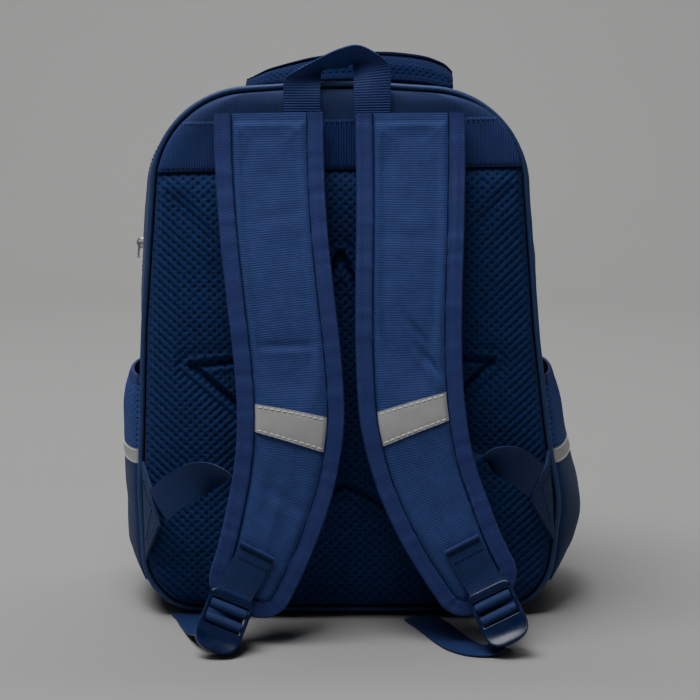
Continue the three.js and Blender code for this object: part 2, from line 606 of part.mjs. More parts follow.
// A strap's middle surface: a place along it, a sideways offset and a lift off its face.
class Strap {
  constructor(name) {
    const rows = STRAP_ROWS[name];
    this.name = name;
    this.rows = rows;
    this.curve = new THREE.CatmullRomCurve3(rows.map((row) => place(row.x, row.out, row.z)));
    this.curve.arcLengthDivisions = 600;
    this.length = this.curve.getLength();
  }

  frame(s) {
    const u = clamp(s / this.length, 0, 1);
    const along = this.curve.getTangentAt(u);
    const across = new THREE.Vector3(1, 0, 0).addScaledVector(along, -along.x).normalize();
    const origin = this.curve.getPointAt(u).addScaledVector(along, s - u * this.length);
    return { origin, along, across, out: along.clone().cross(across) };
  }

  point(s, x, lift) {
    const { origin, across, out } = this.frame(s);
    return origin.addScaledVector(across, x).addScaledVector(out, lift);
  }

  // Half the width, drawn in round the lower end's corners.
  half(s) {
    const t = this.curve.getUtoTmapping(clamp(s / this.length, 0, 1)) * (this.rows.length - 1);
    const k = Math.min(Math.floor(t), this.rows.length - 2);
    const full = lerp(this.rows[k].width, this.rows[k + 1].width, t - k) / 2;
    const past = clamp(s - (this.length - STRAP_END_R), 0, STRAP_END_R);
    return full - STRAP_END_R + Math.sqrt(STRAP_END_R ** 2 - past ** 2);
  }

  // Half the thickness, thin under the binding and at the sewn top.
  thickness(s, x) {
    const edge = Math.min(this.half(s) - Math.abs(x), this.length - s, s + 4);
    const rise = smoothstep(edge, BINDING_REACH + 0.7, BINDING_REACH + 9);
    return lerp(STRAP_EDGE_HALF, STRAP_MIDDLE_HALF, rise);
  }

  // Places along the strap that its core and its binding share: the body, then the lower end's corners.
  bodyStations() {
    return between(1, this.length - STRAP_END_R, 15);
  }

  endStations() {
    return END_ANGLES.map((a) => this.length - STRAP_END_R * (1 - Math.sin(a)));
  }

  columns(s) {
    const half = this.half(s);
    const inner = Math.min(BINDING_REACH + 0.7, half * 0.5);
    const rise = Math.min(BINDING_REACH + 9, half * 0.75);
    return [-half, inner - half, rise - half, 0, half - rise, half - inner, half];
  }

  core() {
    const face = (sign) =>
      [...this.bodyStations(), ...this.endStations()].map((s) =>
        this.columns(s).map((x) => this.point(s, x, sign * this.thickness(s, x))),
      );
    return wall(face(1), face(-1));
  }

  // The edge from the top left, round the lower end, to the top right.
  edge() {
    const side = this.bodyStations().map((s) => ({ s, x: this.half(s), ns: 0, nx: 1 }));
    const corner = this.endStations().map((s, i) => {
      const a = END_ANGLES[i];
      return { s, x: this.half(s), ns: Math.sin(a), nx: Math.cos(a) };
    });
    const right = [...side, ...corner];
    const left = right.map((e) => ({ ...e, x: -e.x, nx: -e.nx }));
    return [...left, ...right.toReversed()];
  }

  // The tape folded over that edge.
  binding() {
    const lift = STRAP_EDGE_HALF + GAP;
    const profile = (thick) => [
      { in: BINDING_REACH, lift: lift + thick },
      { in: -GAP, lift: lift + thick },
      { in: -2 * GAP - thick, lift: 0 },
      { in: -GAP, lift: -lift - thick },
      { in: BINDING_REACH, lift: -lift - thick },
    ];
    const face = (thick) =>
      this.edge().map((e) =>
        profile(thick).map((p) => this.point(e.s - e.ns * p.in, e.x - e.nx * p.in, p.lift)),
      );
    return wall(face(BINDING_THICK), face(0));
  }

  // The slanted reflective strip sewn across the face.
  reflector(side) {
    const lengths = this.curve.getLengths(600);
    const height = REFLECTOR.height[this.name];
    const s0 = lengths.find((_, i) => this.curve.getPoint(i / 600).z < height);
    const face = (lift) =>
      grid([-0.5, 0, 0.5], [-1, -0.5, 0, 0.5, 1], (k, v) => {
        const x = v * (this.half(s0) - BINDING_REACH - 1);
        const s = s0 + k * REFLECTOR.width - side * REFLECTOR.slope * x;
        return this.point(s, x, this.thickness(s, x) + lift);
      });
    return wall(face(2 * GAP + REFLECTOR.thick), face(2 * GAP));
  }

  // The buckle's own frame: x across, y up along it, z out of its face.
  buckleFrame() {
    const { along, across, out } = this.frame(this.length);
    const turned = new THREE.Matrix4().makeBasis(across, along.negate(), out);
    turned.multiply(new THREE.Matrix4().makeRotationZ(-BUCKLE.turn[this.name]));
    turned.multiply(new THREE.Matrix4().makeRotationX(-BUCKLE.tilt));
    const s = this.length - BUCKLE.overlap[this.name];
    return turned.setPosition(this.point(s, BUCKLE.shift[this.name], BUCKLE.lift));
  }
}

// Ladder buckle: a frame with two bars and a rounded thumb tongue
function buckle() {
  const { width, length, topBar, windowEnd, window, thick, barR, firstBar, secondBar, corner } = BUCKLE;
  const [w, hole, turn, bevel] = [width / 2, window / 2, BUCKLE.tongueCorner, 0.7];
  const outline = new THREE.Shape();
  outline.moveTo(-w + corner, 0).lineTo(w - corner, 0).quadraticCurveTo(w, 0, w, corner);
  outline.lineTo(w, length - turn).quadraticCurveTo(w, length, w - turn, length);
  outline.lineTo(turn - w, length).quadraticCurveTo(-w, length, -w, length - turn);
  outline.lineTo(-w, corner).quadraticCurveTo(-w, 0, -w + corner, 0);
  const opening = new THREE.Path();
  opening.moveTo(-hole, topBar).lineTo(-hole, windowEnd).lineTo(hole, windowEnd).lineTo(hole, topBar);
  outline.holes.push(opening);
  const plate = new THREE.ExtrudeGeometry(outline, {
    depth: thick - 2 * bevel,
    curveSegments: 4,
    bevelThickness: bevel,
    bevelSize: bevel,
    bevelOffset: -bevel,
    bevelSegments: 1,
  });
  plate.translate(0, 0, bevel - thick / 2);
  const bars = [firstBar, secondBar].map((y) =>
    new THREE.CylinderGeometry(barR, barR, window + 2, 8).rotateZ(Math.PI / 2).translate(0, y, 0),
  );
  return joined(plate, ...bars).rotateX(Math.PI);
}

// A place given along and out of the buckle's face, as a ribbon row.
function buckleRow(frame, { along, out }, sign) {
  const p = new THREE.Vector3(0, -along, out).applyMatrix4(frame);
  const w = new THREE.Vector3(sign, 0, 0).transformDirection(frame);
  return { x: p.x, out: -p.y, z: p.z, wx: w.x, wo: -w.y, wz: w.z };
}

// The short webbing that is sewn to the strap and holds the buckle by its first bar
function buckleTab(strap, frame) {
  const ring = BUCKLE.barR + 0.4 + WEBBING.thick / 2;
  const { name } = strap;
  const turn = TAB.turn[name];
  const onStrap = [TAB.length[name], ...TAB.rows].map((k) => {
    const s = strap.length - k;
    const x = BUCKLE.shift[name] + Math.tan(turn) * (k - BUCKLE.overlap[name]);
    const p = strap.point(s, x, STRAP_MIDDLE_HALF + GAP + 0.3 + WEBBING.thick / 2);
    const { along, across } = strap.frame(s);
    const w = across.multiplyScalar(Math.cos(turn)).addScaledVector(along, Math.sin(turn));
    return { x: p.x, out: -p.y, z: p.z, wx: w.x, wo: -w.y, wz: w.z };
  });
  const round = [-100, -60, -20, 20, 60, 100, 140, 175].map((degrees) => {
    const a = (degrees * Math.PI) / 180;
    return { along: BUCKLE.firstBar + ring * Math.cos(a), out: ring * Math.sin(a) };
  });
  const inBuckle = [{ along: -3, out: -4.2 }, { along: 3.5, out: -4.2 }, ...round];
  return ribbon([...onStrap, ...inBuckle.map((row) => buckleRow(frame, row, 1))], WEBBING, 2);
}

function webbing(name, frame, sign) {
  const inBuckle = WEBBING_IN_BUCKLE.map((row) => buckleRow(frame, row, sign));
  return ribbon([...WEBBING_ROWS[name], ...inBuckle, ...TAIL_ROWS[name]], WEBBING, 2);
}

// The folded cloth that ties the webbing into the side seam
function anchor(name) {
  const [top, upper, lower, base] = ANCHOR_CORNERS[name].map((c) => place(c.x, c.out, c.z));
  const normal = upper.clone().sub(base).cross(lower.clone().sub(top)).setLength(ANCHOR_THICK / 2);
  const face = (sign) =>
    grid(steps(3), steps(2), (u, v) => {
      const seam = top.clone().lerp(base, u);
      const free = upper.clone().lerp(lower, u);
      return seam.lerp(free, v).addScaledVector(normal, sign);
    });
  return wall(face(1), face(-1));
}

// Padded handle with its edge binding, on the top gusset
function handleStations() {
  const curve = new THREE.CatmullRomCurve3(HANDLE_ROWS.map((row) => place(row.x, -HANDLE.behind, row.z)));
  return steps(14).map((u) => {
    const t = curve.getUtoTmapping(u) * (HANDLE_ROWS.length - 1);
    const k = Math.min(Math.floor(t), HANDLE_ROWS.length - 2);
    const [a, b] = [HANDLE_ROWS[k], HANDLE_ROWS[k + 1]];
    const tilt = lerp(a.tilt, b.tilt, t - k);
    const across = new THREE.Vector3(0, Math.cos(tilt), Math.sin(tilt));
    const out = curve.getTangentAt(u).cross(across).normalize();
    const width = 0.62 + 0.38 * Math.sqrt(1 - (2 * u - 1) ** 12);
    return { p: curve.getPointAt(u), across, out, width, half: lerp(a.half, b.half, t - k) };
  });
}

function handlePoint({ p, across, out, width }, x, lift) {
  return p.clone().addScaledVector(across, x * width).addScaledVector(out, lift);
}

function carryHandle() {
  const w = HANDLE.width / 2;
  const columns = [-1, -0.66, -0.35, 0, 0.35, 0.66, 1];
  const face = (sign) =>
    handleStations().map((station) =>
      columns.map((k) => {
        const half = lerp(HANDLE.edgeHalf, station.half, smoothstep(1 - Math.abs(k), 0.25, 0.75));
        return handlePoint(station, k * w, sign * half);
      }),
    );
  return wall(face(1), face(-1));
}

// The tape along one long edge of the handle: 1 is the upper rear edge, -1 the lower one.
function handleBinding(edge) {
  const w = HANDLE.width / 2;
  const lift = HANDLE.edgeHalf + GAP;
  const profile = (thick) => [
    [w - HANDLE.reach, lift + thick],
    [w, lift + thick],
    [w + GAP + thick, 0],
    [w, -lift - thick],
    [w - HANDLE.reach, -lift - thick],
  ];
  const face = (thick) =>
    handleStations().map((station) => profile(thick).map(([x, up]) => handlePoint(station, edge * x, up)));
  return wall(face(BINDING_THICK), face(0));
}

// Zip slider and pull

// The slider's frame on the left wall: x across the zip, y up along it, z out of the wall.
function sliderFrame() {
  const s = backSeam.onSide(SLIDER.z, -1);
  const base = gussetPoint(s, 0.5, SLIDER.lift);
  const up = gussetPoint(s + 0.004, 0.5, SLIDER.lift).sub(base).normalize();
  const across = new THREE.Vector3(0, -1, 0);
  return new THREE.Matrix4().makeBasis(across, up, across.clone().cross(up)).setPosition(base);
}

function zipSlider() {
  const { width, length, thick, bailOuter, bailInner, bailWidth, sunk } = SLIDER;
  const body = new THREE.CylinderGeometry(0.5, 0.5, thick, 14).rotateX(Math.PI / 2);
  body.scale(width, length, 1).translate(0, 0, thick / 2);
  const arch = new THREE.Shape();
  arch.moveTo(bailOuter, 0).absarc(0, 0, bailOuter, 0, Math.PI, false);
  arch.lineTo(-bailInner, 0).absarc(0, 0, bailInner, Math.PI, 0, true);
  const bail = new THREE.ExtrudeGeometry(arch, { depth: bailWidth, bevelEnabled: false, curveSegments: 8 });
  const turned = new THREE.Matrix4();
  turned.set(0, 0, 1, -bailWidth / 2, 1, 0, 0, 0, 0, 1, 0, thick - sunk, 0, 0, 0, 1);
  return joined(body, bail.applyMatrix4(turned));
}

// The pull hangs by a bar through the slider's bail; its eye lets the bail through as it swings.
function zipPull() {
  const { width, length, thick, bar, eye, eyeWidth, corner } = PULL;
  const [w, hole] = [width / 2, eyeWidth / 2];
  const outline = new THREE.Shape();
  outline.moveTo(-w, bar / 2).lineTo(-w, corner - length).quadraticCurveTo(-w, -length, corner - w, -length);
  outline.lineTo(w - corner, -length).quadraticCurveTo(w, -length, w, corner - length).lineTo(w, bar / 2);
  const opening = new THREE.Path();
  const [top, end] = [-bar / 2, -bar / 2 - eye];
  opening.moveTo(-hole, top).lineTo(hole, top).lineTo(hole, end).lineTo(-hole, end);
  outline.holes.push(opening);
  const plate = new THREE.ExtrudeGeometry(outline, { depth: thick, bevelEnabled: false, curveSegments: 4 });
  return plate.translate(0, 0, SLIDER.thick + PULL.rise - thick / 2);
}

const group = new THREE.Group();
group.position.y = -DEPTH / 2;

function piece(name, geometry, finish) {
  const mesh = new THREE.Mesh(geometry, new THREE.MeshStandardMaterial(FINISHES[finish]));
  mesh.name = name;
  group.add(mesh);
  return mesh;
}

piece("back_pad", backPad(), "mesh");
piece("back_yoke", backYoke(), "cloth");
piece("back_band", backBand(), "webbing");
piece("back_piping", backPiping(), "piping");
for (const [name, geometry] of Object.entries(gussetPieces())) {
  piece(name, geometry, name === "main_zip" ? "webbing" : "cloth");
}
piece("front_panel", frontPanel(), "cloth");
piece("hang_loop", edgedTape(LOOP_EDGES, WEBBING.thick, 3), "webbing");
piece("carry_handle", carryHandle(), "mesh");
piece("handle_binding_upper", handleBinding(1), "binding");
piece("handle_binding_lower", handleBinding(-1), "binding");
for (const [name, side] of [["left", -1], ["right", 1]]) {
  for (const zone of POCKET_ZONES) {
    piece(`${zone.name}_${name}`, pocketWall(side, zone), zone.finish);
  }
  const strap = new Strap(name);
  const frame = strap.buckleFrame();
  piece(`strap_${name}`, strap.core(), "cloth");
  piece(`strap_binding_${name}`, strap.binding(), "binding");
  piece(`reflector_${name}`, strap.reflector(side), "reflective");
  piece(`buckle_tab_${name}`, buckleTab(strap, frame), "webbing");
  piece(`buckle_${name}`, buckle(), "plastic").applyMatrix4(frame);
  piece(`webbing_${name}`, webbing(name, frame, -side), "webbing");
  piece(`webbing_anchor_${name}`, anchor(name), "cloth");
}

const zipFrame = sliderFrame();
piece("zip_slider", zipSlider(), "metal").applyMatrix4(zipFrame);
piece("zip_pull", zipPull(), "metal").applyMatrix4(zipFrame);

const root = new THREE.Group();
root.add(group);
export default root;
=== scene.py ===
"""A child's school backpack, dressed with cloth, mesh, webbing, moulded buckles and stitching.

Sizes are in millimetres, with y = 0 in the plane of the back seam, and "out" is how far a point
stands in front of that plane. Points are turned into the frame's metres when a piece is made.
"""

import math

import bpy
import numpy as np
from mathutils import Matrix, Vector


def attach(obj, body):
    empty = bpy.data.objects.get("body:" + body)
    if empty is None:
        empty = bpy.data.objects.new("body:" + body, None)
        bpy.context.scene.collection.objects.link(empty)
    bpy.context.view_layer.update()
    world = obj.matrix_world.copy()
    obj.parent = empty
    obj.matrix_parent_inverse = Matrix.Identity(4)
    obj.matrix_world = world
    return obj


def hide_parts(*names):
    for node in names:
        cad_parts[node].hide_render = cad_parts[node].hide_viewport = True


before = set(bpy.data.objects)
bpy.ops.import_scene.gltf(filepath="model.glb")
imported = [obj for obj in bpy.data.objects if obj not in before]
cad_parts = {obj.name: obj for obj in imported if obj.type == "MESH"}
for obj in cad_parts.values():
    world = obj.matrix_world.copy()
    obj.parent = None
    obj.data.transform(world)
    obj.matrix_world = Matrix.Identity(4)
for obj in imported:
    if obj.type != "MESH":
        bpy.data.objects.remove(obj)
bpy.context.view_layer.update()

MM = 0.001
DEPTH = 150
SEAM_PLANE = np.array([0, -DEPTH / 2, 0])
SIDES = {"left": -1, "right": 1}
OUT = (0.0, -1.0, 0.0)
GAP = 0.4

# Body of the bag
WALL = 2
PIPING_R = 1.95
SIDE_BULGE = {"left": (5, 10.5), "right": (6, 8)}
BULGE_Z = (178, 245)
BASE_BULGE = 11
TOP_BULGE = -1.5
FRONT_SCALE = 0.97
FRONT_DROP = 7
FRONT_DROP_ABOVE_Z = 150
FRONT_INSET = 0.5
FRONT_RIM_T = 0.978
FRONT_CROWN = 15
FRONT_ROUND = 70
ZIP_END_Z = 238
ZIP_T = (0.44, 0.56)
ZIP_SEWN_T = 0.022
ZIP_TOOTH = {"shift_t": 0.006, "slant": 1.25, "lift": 0.9}
SEAM_T = 0.014

# Corners of the back seam from the lower left up and over to the lower right: x, z and radius
BACK_CORNERS = [
    (-136.5, 5.2, 39),
    (-140.2, 92, 160),
    (-136.3, 205, 500),
    (-124, 365.5, 68),
    (-1, 373.4, 420),
    (122, 365.5, 68),
    (135.9, 200, 500),
    (145.3, 125, 300),
    (153, 82, 80),
    (145, 5.2, 40),
]
TOP_CORNER = 4
FRONT_CORNERS = [
    (x * FRONT_SCALE, z - FRONT_DROP * (z > FRONT_DROP_ABOVE_Z), radius) for x, z, radius in BACK_CORNERS
]

# Back panel
PANEL_INSET = 2.8
PANEL_BACK = -3
PAD_Z = (8, 313.4)
PAD_EDGE = 2.2
PAD_CROWN = 9
PAD_ROUND = 24
BAND_Z = (313.2, 347.4)
BAND_THICK = 1.4
BAND_RIB = {"pitch": 1.75, "height": 0.22}
BAND_SEWN = 2.2
# The band climbs to the right from a place on its left, and what lies above a height leans with it
BAND_CLIMB = {"slope": 0.0165, "from_x": -110, "above_z": 200}
YOKE_EDGE = 1.2
YOKE_CROWN = 5.6
YOKE_ROUND = 16
YOKE_TOP_Z = 369.2
STAR = {
    "x": 1.5,
    "z": 147.7,
    "tip": 108.7,
    "notch": 51.5,
    "turn": 0.015,
    "depth": 2.8,
    "width": 2.4,
    "ridge": 1.5,
    "ridge_at": 4.4,
    "ridge_width": 2,
    "sink": 1.6,
    "sink_width": 9,
}
HOLE_PITCH = (6.9, 6.1)
HOLE_DEPTH = 0.85

# Side pockets: height, and how far the pouch stands off the wall on the left and on the right
POCKET_ROWS = [
    (26, 0.6, 0.6),
    (36, 5.2, 6),
    (45, 11.1, 13.5),
    (64, 10.6, 17.2),
    (80, 9.8, 15.2),
    (98, 11.8, 12.8),
    (122, 13.1, 11.4),
    (145, 13.8, 10.4),
    (160, 11.4, 7.4),
    (171, 6.6, 4),
]
POCKET_COLUMN = {"left": 1, "right": 2}
POCKET_SOFTENING = 9
POCKET_T = (0.06, 0.94)
POCKET_WALL = 1.5
POCKET_GIRTH = 170
POCKET_GATHERS = 26
POCKET_TRIM_Z = (107.9, 118.3)
POCKET_HEM_Z = (164, 171)

# Shoulder straps: height, sideways place, distance in front of the seam, and width
STRAP_ROWS = {
    "left": [
        (354, -48, 16.5, 71),
        (318, -47.3, 23.5, 70.5),
        (275, -44.5, 34, 69.5),
        (231, -39.7, 44, 69),
        (190, -35, 51, 69),
        (150, -33, 57, 69),
        (115, -37, 61, 66),
        (85, -44.5, 65, 62),
        (58, -53.5, 68, 57),
        (25, -67, 70.5, 51),
    ],
    "right": [
        (354, 47, 16.5, 71),
        (318, 47.3, 23.5, 70.5),
        (275, 46.8, 34, 69.5),
        (231, 45.8, 44, 68.5),
        (190, 46, 51, 68),
        (150, 49, 57, 68),
        (115, 57, 61, 65),
        (85, 69, 65, 62),
        (60, 81.5, 68, 57),
        (29, 100, 70.5, 52),
    ],
}
STRAP_EDGE_HALF = 3
STRAP_MIDDLE_HALF = 5.6
STRAP_END_R = 17
CORNER_TURN = np.linspace(0, np.pi / 2, 24)[1:]
BINDING_REACH = 10.5
BINDING_THICK = 1
REFLECTOR = {"left": 147.5, "right": 153, "slope": 0.2, "width": 21, "stitch": 1.8}
# Creases on the straps' faces: sideways place, place along, direction, length, width and depth
STRAP_CREASES = {
    "left": [(0, 158, 5, 22, 2.6, 0.9), (10, 70, -8, 22, 5, 0.4), (8, 262, 20, 18, 4, 0.7)],
    "right": [(6, 149, 56, 13, 2.6, 1.8), (13, 168, 58, 15, 2.6, 3), (-8, 84, 6, 22, 5, 0.4)],
}
CREASE_RIDGE = 0.35

# Webbing, ladder buckles and anchors
WEBBING_WIDTH = 25
WEBBING_THICK = 1.5
TAB_LENGTH = {"left": 42, "right": 45}
TAB_TURN = {"left": 0.12, "right": 0}
TAB_ROWS = (34, 27, 21)
TAB_SEWN = (3.5, 9.5)
TAB_FOLD_R = 1.6
BUCKLE = {
    "half": 15.5,
    "length": 41,
    "top_bar": 5.8,
    "window_end": 24,
    "window_half": 12.9,
    "thick": 4.2,
    "bar_r": 1.8,
    "first_bar": 10,
    "second_bar": 19.5,
    "corner": 5,
    "tongue_corner": 13.5,
    "curl": 1.6,
    "dish": 0.9,
    "lip": 0.8,
    "lift": 13.5,
    "tilt": 0.45,
}
BUCKLE_OVERLAP = {"left": 9.5, "right": 12}
BUCKLE_SHIFT = {"left": -7.8, "right": 4}
BUCKLE_TURN = {"left": 0, "right": 0.08}
BUCKLE_VOXEL = 0.45

# Routes of webbing: place (x, out, z) and direction of the width (x, out, z)
WEBBING_ROWS = {
    "left": [
        (-125, 24.6, 84.5, -0.23, -0.2, 0.95),
        (-116, 31.6, 94.7, -0.25, -0.1, 0.96),
        (-103.9, 38, 103.7, -0.26, 0.05, 0.96),
        (-93.8, 41, 108.4, -0.3, 0.28, 0.91),
        (-83.9, 41.4, 109.2, -0.34, 0.62, 0.7),
        (-73.5, 40.8, 107.6, -0.2, 0.92, 0.34),
        (-62, 40, 98, 0.2, 0.97, -0.1),
        (-56, 41, 79, 0.7, 0.65, -0.25),
        (-59, 47, 58, 0.9, 0.2, -0.36),
    ],
    "right": [
        (134.3, 23.4, 102, 0.36, -0.3, 0.88),
        (126.4, 31, 110, 0.35, -0.15, 0.92),
        (116.6, 37, 117, 0.32, 0.1, 0.94),
        (107, 40, 121.5, 0.3, 0.55, 0.78),
        (98, 40, 123, 0.2, 0.92, 0.33),
        (87.5, 39.5, 120.5, 0, 0.95, -0.3),
        (78, 39.5, 111, -0.3, 0.85, -0.42),
        (75.5, 41.5, 94, -0.65, 0.65, -0.4),
        (83, 47, 68, -0.84, 0.25, -0.48),
    ],
}
# Through the buckle: along its face, and out of it
WEBBING_IN_BUCKLE = [
    (-13, -19.8),
    (2.5, -26.2),
    (11.2, -18.4),
    (14.2, -9.5),
    (16.1, -3),
    (16.5, 0),
    (17.6, 2.3),
    (19.5, 3),
    (21.4, 2.3),
    (22.4, 0),
    (23.2, -2.8),
    (25.2, -5.6),
    (28, -8.8),
]
TAIL_ROWS = {
    "left": [
        (-84.4, 79, 6.6, 0.92, -0.06, -0.28),
        (-88, 66, 4.2, 0.95, -0.16, -0.14),
        (-92, 52, 2.6, 0.97, -0.22, -0.05),
        (-95.6, 38, 1.6, 0.97, -0.26, 0),
        (-100, 22, 1.3, 0.94, -0.34, 0),
        (-103.5, 8, 1.3, 0.9, -0.43, 0),
        (-108, -4, 1.3, 0.87, -0.49, 0),
    ],
    "right": [
        (109.4, 86.6, 10, -0.68, 0.7, -0.1),
        (106.3, 87.4, 5, 0.1, 0.99, 0),
        (99.5, 89, 2, -0.05, 1, 0),
        (91, 87.5, 1.3, -0.43, 0.9, 0),
        (83, 80, 1.3, -0.73, 0.68, 0),
        (77, 68, 1.3, -0.89, 0.45, 0),
        (72, 54, 1.3, -0.94, 0.34, 0),
        (64, 30, 1.3, -0.94, 0.35, 0),
        (56, 9, 1.3, -0.93, 0.36, 0),
    ],
}
# Anchor corners (x, out, z): two on the side seam with two at the webbing between them
ANCHOR_CORNERS = {
    "left": [(-138, 3.8, 112), (-131, 17, 96), (-125, 25, 70.7), (-136.4, 3.8, 42)],
    "right": [(144.8, 3.8, 120), (142.4, 15, 113), (131, 24.5, 88), (149.4, 4.4, 55)],
}
ANCHOR_THICK = 2.2
ANCHOR_CLOTH = (70, 20)

# Hang loop by its outer and inner edges (x, out, z each), and the padded handle behind it
LOOP_EDGES = [
    (-38.5, 8.6, 349.5, -13.5, 8.6, 349.5),
    (-38.5, 8.9, 367, -13.5, 8.4, 367),
    (-37.6, 10.6, 376, -13.4, 3.8, 375.8),
    (-29.4, 12.8, 382, -12.8, -2, 381),
    (-14, 13.4, 390, -9, -6.4, 382.8),
    (0, 12.4, 396.4, -2, -7.6, 383),
    (12, 12, 398.6, 5, -6.6, 384.4),
    (24, 12.6, 393.2, 8.2, -4, 385.8),
    (32.6, 11.4, 386, 8.9, 0.5, 382),
    (34, 9.8, 376.4, 9, 6, 374.5),
    (34, 8.8, 367, 9, 8.5, 366),
    (34, 8.6, 349.5, 9, 8.6, 349.5),
]
# Handle: x, z, tilt and half thickness
HANDLE_ROWS = [
    (-66, 372.6, 0.1, 2.6),
    (-48, 376, 0.26, 4.2),
    (-20, 380.8, 0.48, 5.2),
    (8, 383.2, 0.58, 5.4),
    (36, 383, 0.62, 5.4),
    (60, 380.2, 0.58, 5),
    (78, 374.6, 0.46, 3.4),
]
HANDLE = {"behind": 44, "half": 13.5, "edge_half": 2.2, "reach": 2.2, "stitch": 0.9, "droop": 2.2}
# Left and right ends of the handle: length of the taper, and share of the thickness left at the end
HANDLE_ENDS = [(18, 0.35), (7, 0.55)]

# Stitches: pitch, length, width and height
STITCHES = {
    "band": (3.4, 2.4, 0.55, 0.4),
    "wall": (3.2, 2.3, 0.55, 0.4),
    "edge": (3.0, 2.2, 0.55, 0.4),
    "tab": (2.6, 2.0, 0.55, 0.4),
    "silver": (4.0, 3.0, 0.85, 0.5),
    "zip_tooth": (1.5, 3.4, 0.9, 0.6),
}

# Swelling of padded cloth: pressure, frames, and how far the pad and the straps may swell
PRESSURE = 1.5
SWELL_FRAMES = 20
PAD_SWELL = 4
STRAP_SWELL = 2.2
# How near to its sewn lines and to its ends the pad is held
PAD_HELD = {"line": 3, "end": 4}

# Unevenness of the pieces: height and size of the lumps, and the seed of their pattern
LUMPS = {
    "pad": (0.5, 22, 3),
    "yoke": (0.35, 18, 5),
    "piping": (0.035, 7, 9),
    "wall": (0.8, 26, 11),
    "wall_fine": (0.35, 11, 12),
    "front": (1.6, 60, 21),
    "front_fine": (0.7, 24, 22),
    "pouch_left": (0.9, 30, 31),
    "pouch_right": (0.9, 30, 37),
    "gathers_left": (0.6, 40, 32),
    "gathers_right": (0.6, 40, 38),
    "strap_left": (0.35, 16, 40),
    "strap_right": (0.35, 16, 42),
    "binding_left": (0.081, 5, 50),
    "binding_right": (0.081, 5, 52),
    "strip_left": (0.2, 9, 60),
    "strip_right": (0.2, 9, 62),
    "anchor": (0.4, 12, 71),
    "handle": (0.3, 12, 81),
}

# Rows and columns of the pieces' grids
GRIDS = {
    "pad_swelling": (64, 57),
    "pad": (290, 280),
    "yoke": (48, 120),
    "band": (18, 600),
    "wall": (250, 50),
    "wall_strip": (260, 30),
    "zip": (400, 14),
    "front": (100, 84),
    "strap_swelling": (84, 21),
    "strap": (230, 61),
    "reflector": (15, 60),
    "anchor": (44, 22),
    "loop": (150, 11),
    "handle": (120, 41),
}

# Colours of the finishes, as linear red, green and blue
CLOTH = (0.0280, 0.0545, 0.200)
YOKE = (0.0240, 0.0420, 0.140)
WALLS = (0.0160, 0.0370, 0.125)
MESH = (0.0170, 0.0420, 0.158)
HANDLE_MESH = (0.0045, 0.0175, 0.092)
NET = (0.050, 0.095, 0.330)
TAPE = (0.0230, 0.0385, 0.168)
HANDLE_TAPE = (0.005, 0.012, 0.050)
BAND = (0.0165, 0.0375, 0.162)
WEBBING = (0.009, 0.027, 0.118)
CORD = (0.018, 0.046, 0.150)
SILVER_GREY = (0.405, 0.405, 0.405)
MOULDED = (0.002, 0.010, 0.052)
WHITE = (0.75, 0.75, 0.74)
NAVY = (0.005, 0.013, 0.060)
PLATING = (0.55, 0.55, 0.54)
BACKDROP = (0.338, 0.338, 0.333)

# Area lights in metres: name, place, target, size and watts
LIGHTS = [
    ("key", (-0.5, -0.62, 2.25), (0, -0.05, 0.15), (1.7, 1.0), 53),
    ("fill", (0.3, -2.6, 1.1), (0, 0, 0.2), (1.8, 1.4), 1.4),
    ("wash", (0, 0.9, 2.7), (0, 2.45, 1.0), (3.2, 0.8), 66),
]
WORLD_STRENGTH = 0.025
# Floor and backdrop in metres
STUDIO = {"near": -4.0, "far": 2.6, "height": 4.0, "bend": 0.9, "half": 5.0}
CAMERA = {"at": (6.5, -1475, 400), "pitch": 8.54, "lens": 105.12, "sensor": 36, "clip_end": 50}


# Small helpers for arrays of points


def unit(v):
    return v / np.linalg.norm(v, axis=-1, keepdims=True)


def joined(*columns):
    """Points, or cloth coordinates, from arrays of their columns."""
    return np.stack(np.broadcast_arrays(*columns), -1)


def place(x, out, z):
    return joined(x, -np.asarray(out, float), z)


def run_along(path):
    """Length from the start of a path to each of its points."""
    return np.concatenate([[0], np.cumsum(np.linalg.norm(np.diff(path, axis=0), axis=1))])


def lerp(a, b, k):
    return a + (b - a) * k


def smoothstep(x, low, high):
    k = np.clip((x - low) / (high - low), 0, 1)
    return k * k * (3 - 2 * k)


def rounded(distance, radius):
    """How far a quarter-round border has risen at a distance from its edge."""
    return np.sqrt(1 - (1 - np.clip(distance / radius, 0, 1)) ** 2)


def bell(distance, width):
    return np.exp(-((distance / width) ** 2))


def blended(values, a, b):
    """A grid of values, read smoothly between its points."""
    i = np.minimum(np.floor(a).astype(int), values.shape[0] - 2)
    j = np.minimum(np.floor(b).astype(int), values.shape[1] - 2)
    fa, fb = smoothstep(a - i, 0, 1), smoothstep(b - j, 0, 1)
    near = lerp(values[i, j], values[i + 1, j], fa)
    far = lerp(values[i, j + 1], values[i + 1, j + 1], fa)
    return lerp(near, far, fb)


def spread(coarse, rows, cols):
    """A coarse grid of values read on a finer grid."""
    r = np.linspace(0, coarse.shape[0] - 1, rows)[:, None]
    return blended(coarse, r, np.linspace(0, coarse.shape[1] - 1, cols)[None])


def soft_noise(a, b, size, seed, cells=97):
    """Smooth values from -1 to 1 over two coordinates, with lumps of one size."""
    lattice = np.random.default_rng(seed).uniform(-1, 1, (cells, cells))
    a, b = np.broadcast_arrays(np.asarray(a, float) / size, np.asarray(b, float) / size)
    return blended(np.pad(lattice, (0, 1), mode="wrap"), a % cells, b % cells)


def lumps(kind, a, b):
    height, size, seed = LUMPS[kind]
    return height * soft_noise(a, b, size, seed)


